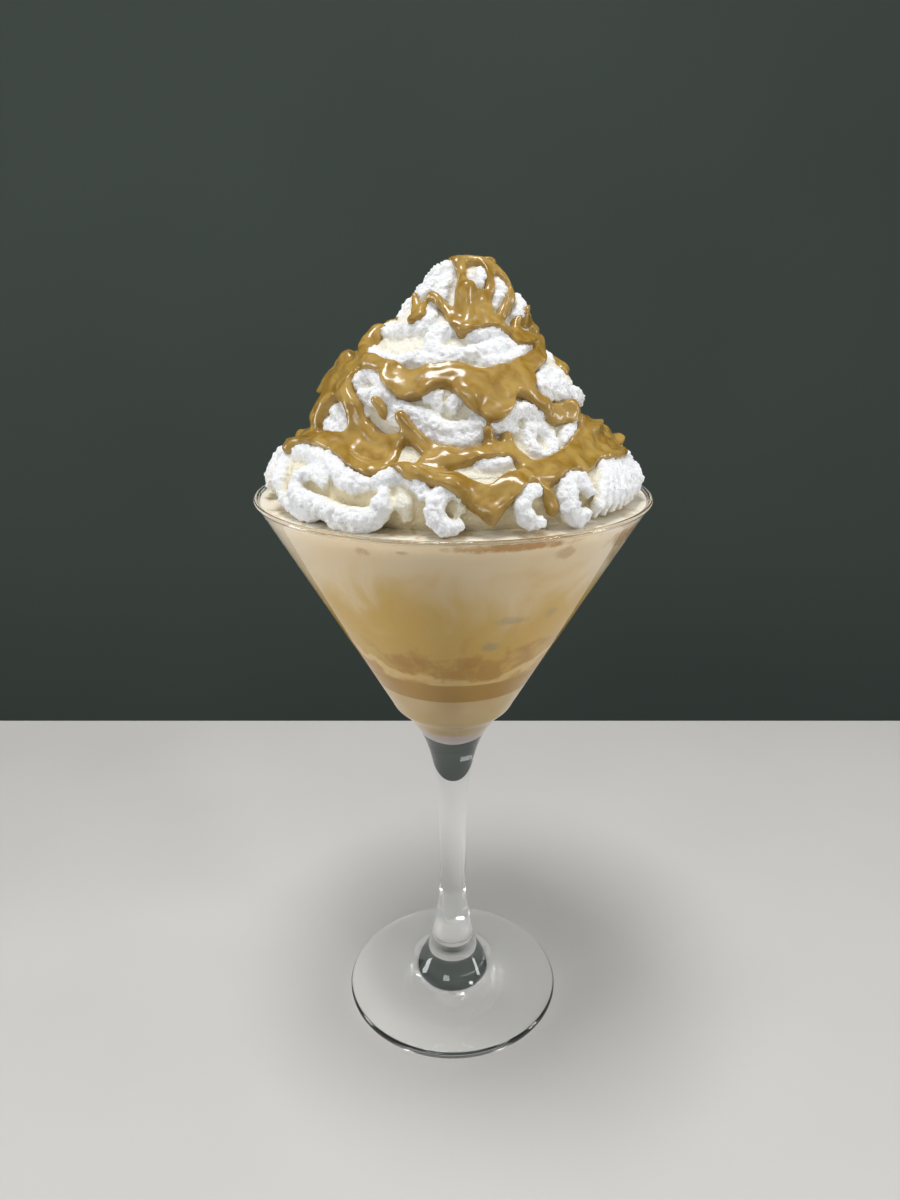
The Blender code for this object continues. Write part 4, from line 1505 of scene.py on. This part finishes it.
def front_pours() -> tuple[Pour, ...]:
    """The sauce in front, as cap, bands, pools and drips, and the cap's far side."""
    return (
        Pour(1.8, 2.0, ((-34, 63), (6, 63.4), (35, 62.1), (52, 59.6), (56, 55.1), (44, 52.2), (37, 50))),
        Pour(2.5, 1.9, ((110, 63.4), (150, 62.4), (190, 62.2), (225, 63), (240, 63.8))),
        Pour(2.2, 1.7, ((120, 64.4), (180, 63.9))),
        Pour(1.4, 1.9, ((148, 62), (146, 59), (149, 56.4))),
        Pour(1.5, 1.9, ((205, 62), (208, 59.6), (207, 57.8))),
        Pour(1.5, 1.8, ((-26, 62.7), (-15, 59.5), (-13, 55.7), (-8, 52), (-3, 49.6))),
        Pour(2.2, 2.3, ((-3, 55.2), (-2, 52.4), (2, 50.4))),
        Pour(2.4, 2.2, ((15, 51.6), (18, 50), (12, 48.8), (4, 49))),
        Pour(1.5, 2.3, ((14, 54), (15, 52.6))),
        Pour(1.3, 1.7, ((31, 61), (28, 58), (24, 55.6), (17, 53.4))),
        Pour(1.7, 1.9, ((3, 45.6), (7, 46.2), (12, 47.2), (24, 47.5), (36, 45.5), (46, 42.9))),
        Pour(2.0, 1.8, ((-3, 47.6), (8, 47.8), (18, 48.4), (27, 48))),
        Pour(1.4, 1.8, ((51, 47.9), (47, 45.6), (44, 43.6))),
        Pour(1.4, 1.8, ((-66, 52.6), (-50, 49.6), (-40, 47.4))),
        Pour(1.2, 1.7, ((-36, 48.4), (-44, 51.2), (-45, 52.6), (-36, 53), (-26, 51.8), (-17, 50.2),
                        (-8, 47.9))),
        Pour(2.7, 2.2, ((50, 43.4), (62, 43), (66, 40.8), (56, 38.6), (46, 37.6), (36, 36.6))),
        Pour(1.8, 2.0, ((-80, 44.6), (-74, 42), (-66, 39.4), (-54, 37.4), (-44, 36.6))),
        Pour(1.8, 2.2, ((-84, 37.4), (-90, 36), (-88, 34))),
        Pour(3.4, 3.0, ((-93, 34), (-84, 32.8), (-78, 30.8))),
        Pour(3.1, 2.6, ((-84, 33.6), (-72, 32.6), (-60, 31.8), (-54, 31))),
        Pour(1.8, 2.6, ((-64, 28.6), (-67, 24.6), (-68, 20.4))),
        Pour(2.1, 2.3, ((-56, 31.6), (-50, 29.6), (-45, 27.4))),
        Pour(3.2, 2.5, ((-76, 36), (-64, 35.2), (-56, 33.8))),
        Pour(2.4, 2.4, ((-70, 29), (-72, 26), (-75, 21.6), (-69, 18.2))),
        Pour(2.0, 2.3, ((-62, 36.2), (-52, 36.8), (-42, 36.6), (-32, 35.8))),
        Pour(3.5, 2.5, ((-28, 34.9), (-20, 34), (-10, 35.2), (0, 36), (8, 35.4), (15, 34.6), (26, 35.2),
                        (34, 34.6))),
        Pour(2.2, 2.3, ((-26, 33.2), (-20, 31.8), (-13, 32.6))),
        Pour(2.9, 2.4, ((3, 33.6), (8, 30.9), (13, 28.4), (16, 27.4), (19, 28.8), (22, 31.6))),
        Pour(3.4, 2.2, ((8, 33.4), (14, 31), (19, 32.6))),
        Pour(2.1, 2.2, ((30, 34), (33, 31.5), (36.5, 29.2), (41, 27.2), (48, 25.8), (55, 26))),
        Pour(1.6, 2.4, ((55, 26.4), (57, 25), (53, 24), (46, 24.8))),
        Pour(1.5, 2.0, ((-32, 28.8), (-30, 27.2), (-29.5, 26.2))),
        Pour(1.9, 2.1, ((-20.5, 25.4), (-17, 22.6), (-12.5, 20.4), (-7, 18.6), (-2, 18))),
        Pour(0.9, 1.2, ((-47, 27.6), (-43, 24.8))),
        Pour(1.9, 2.2, ((-43, 24.8), (-40, 22.8), (-36, 21.8), (-32, 20.7), (-26, 20.1), (-21, 20.6))),
        Pour(1.8, 1.8, ((-41, 23), (-39.5, 20.4), (-40, 17.6))),
        Pour(3.0, 1.3, ((-40, 20.2), (-36, 18.4), (-30, 17.6), (-23.6, 17.4))),
        Pour(2.1, 2.3, ((-85, 15.2), (-74, 15.6), (-64, 16.8), (-51, 17.7), (-41, 16.9), (-34, 15.3),
                        (-27, 14.6))),
        Pour(1.1, 1.7, ((-26, 14.5), (-20, 14.6), (-15, 14.7), (-11, 15))),
        Pour(2.0, 2.3, ((-9.5, 16.4), (-5, 16.6), (-1, 16.8))),
        Pour(1.8, 1.8, ((-44, 19.4), (-54, 18.6), (-66, 17.6))),
        Pour(2.6, 2.0, ((-13, 14.4), (-7, 14), (0, 12.8))),
        Pour(2.2, 2.3, ((-5, 17.7), (3, 17.4), (11, 17.9), (18, 18.4), (22, 17), (25, 15), (30, 14.8),
                        (39, 15.5))),
        Pour(1.4, 2.0, ((13, 22.4), (14, 19.6))),
        Pour(1.5, 2.0, ((21, 21), (21, 18.8))),
        Pour(2.2, 2.4, ((-11, 13.9), (-5, 13.2), (-1, 12.4), (3, 11.0), (6.5, 9))),
        Pour(2.9, 2.4, ((8.6, 7.8), (9.8, 6.7))),
        Pour(1.9, 2.1, ((9.8, 6.4), (10, 4.8))),
        Pour(1.3, 1.8, ((10, 4.8), (10, 2.2))),
        Pour(2.0, 2.4, ((11.5, 7.4), (14, 9.4), (17, 11.4), (20, 13.2), (23, 13.6), (27, 12.9), (30, 13),
                        (34, 13.8), (40, 14.8), (44, 14.4))),
        Pour(2.7, 2.4, ((0, 12.9), (6, 11.4), (11, 11.2), (17, 12.9))),
        Pour(1.2, 1.0, ((25.5, 12.4), (27.5, 9.8), (28, 7.1), (28, 3.6))),
        Pour(2.2, 2.3, ((34, 14.4), (41, 15.4), (50, 17), (58, 19.2), (64, 21.4))),
        Pour(2.6, 2.6, ((67, 21.4), (76, 20.8), (84, 19.2), (90, 16.4), (94, 13.8))),
        Pour(3.0, 2.4, ((44, 15.6), (52, 17), (60, 18), (68, 18.8), (76, 18.6), (84, 17))),
        Pour(2.6, 2.2, ((58, 16), (66, 15.6), (74, 15.4), (84, 15))),
        Pour(1.7, 3.1, ((66, 20.4), (71, 18.8), (76, 19.6), (81, 18), (86, 17.6))),
        Pour(1.6, 3.1, ((52, 17.6), (57, 17), (61, 18.8), (66, 18.4))),
        Pour(1.6, 3.0, ((72, 16.4), (77, 15.4), (82, 16.4))),
        Pour(1.5, 3.0, ((60, 16.2), (64, 15.2), (68, 16.4), (71, 15))),
        Pour(1.8, 2.0, ((52, 15.8), (58, 14.8), (66, 13.8), (76, 13.4))),
        Pour(1.9, 2.2, ((49, 17.4), (42, 15.4), (37, 14.4))),
        Pour(1.7, 2.0, ((55, 15.6), (50, 14.2), (44, 13.8))),
        Pour(2.2, 2.0, ((74, 14), (84, 13.6), (94, 14.4))),
    )


def main() -> None:
    """Builds the sundae piece by piece and sets the stage."""
    logging.basicConfig(level=logging.INFO, format="%(message)s")
    Studio().build()
    glass = CocktailGlass()
    glass.build(ClearGlass())
    Fillings(glass).build()
    outline = CreamOutline()
    cream = WhippedCream(outline, (lower_ring(), middle_ring(), upper_ring()))
    cream.build(WhippedFinish())
    CaramelSauce(outline, cream, front_pours()).build(SauceFinish())


if __name__ == "__main__":
    main()
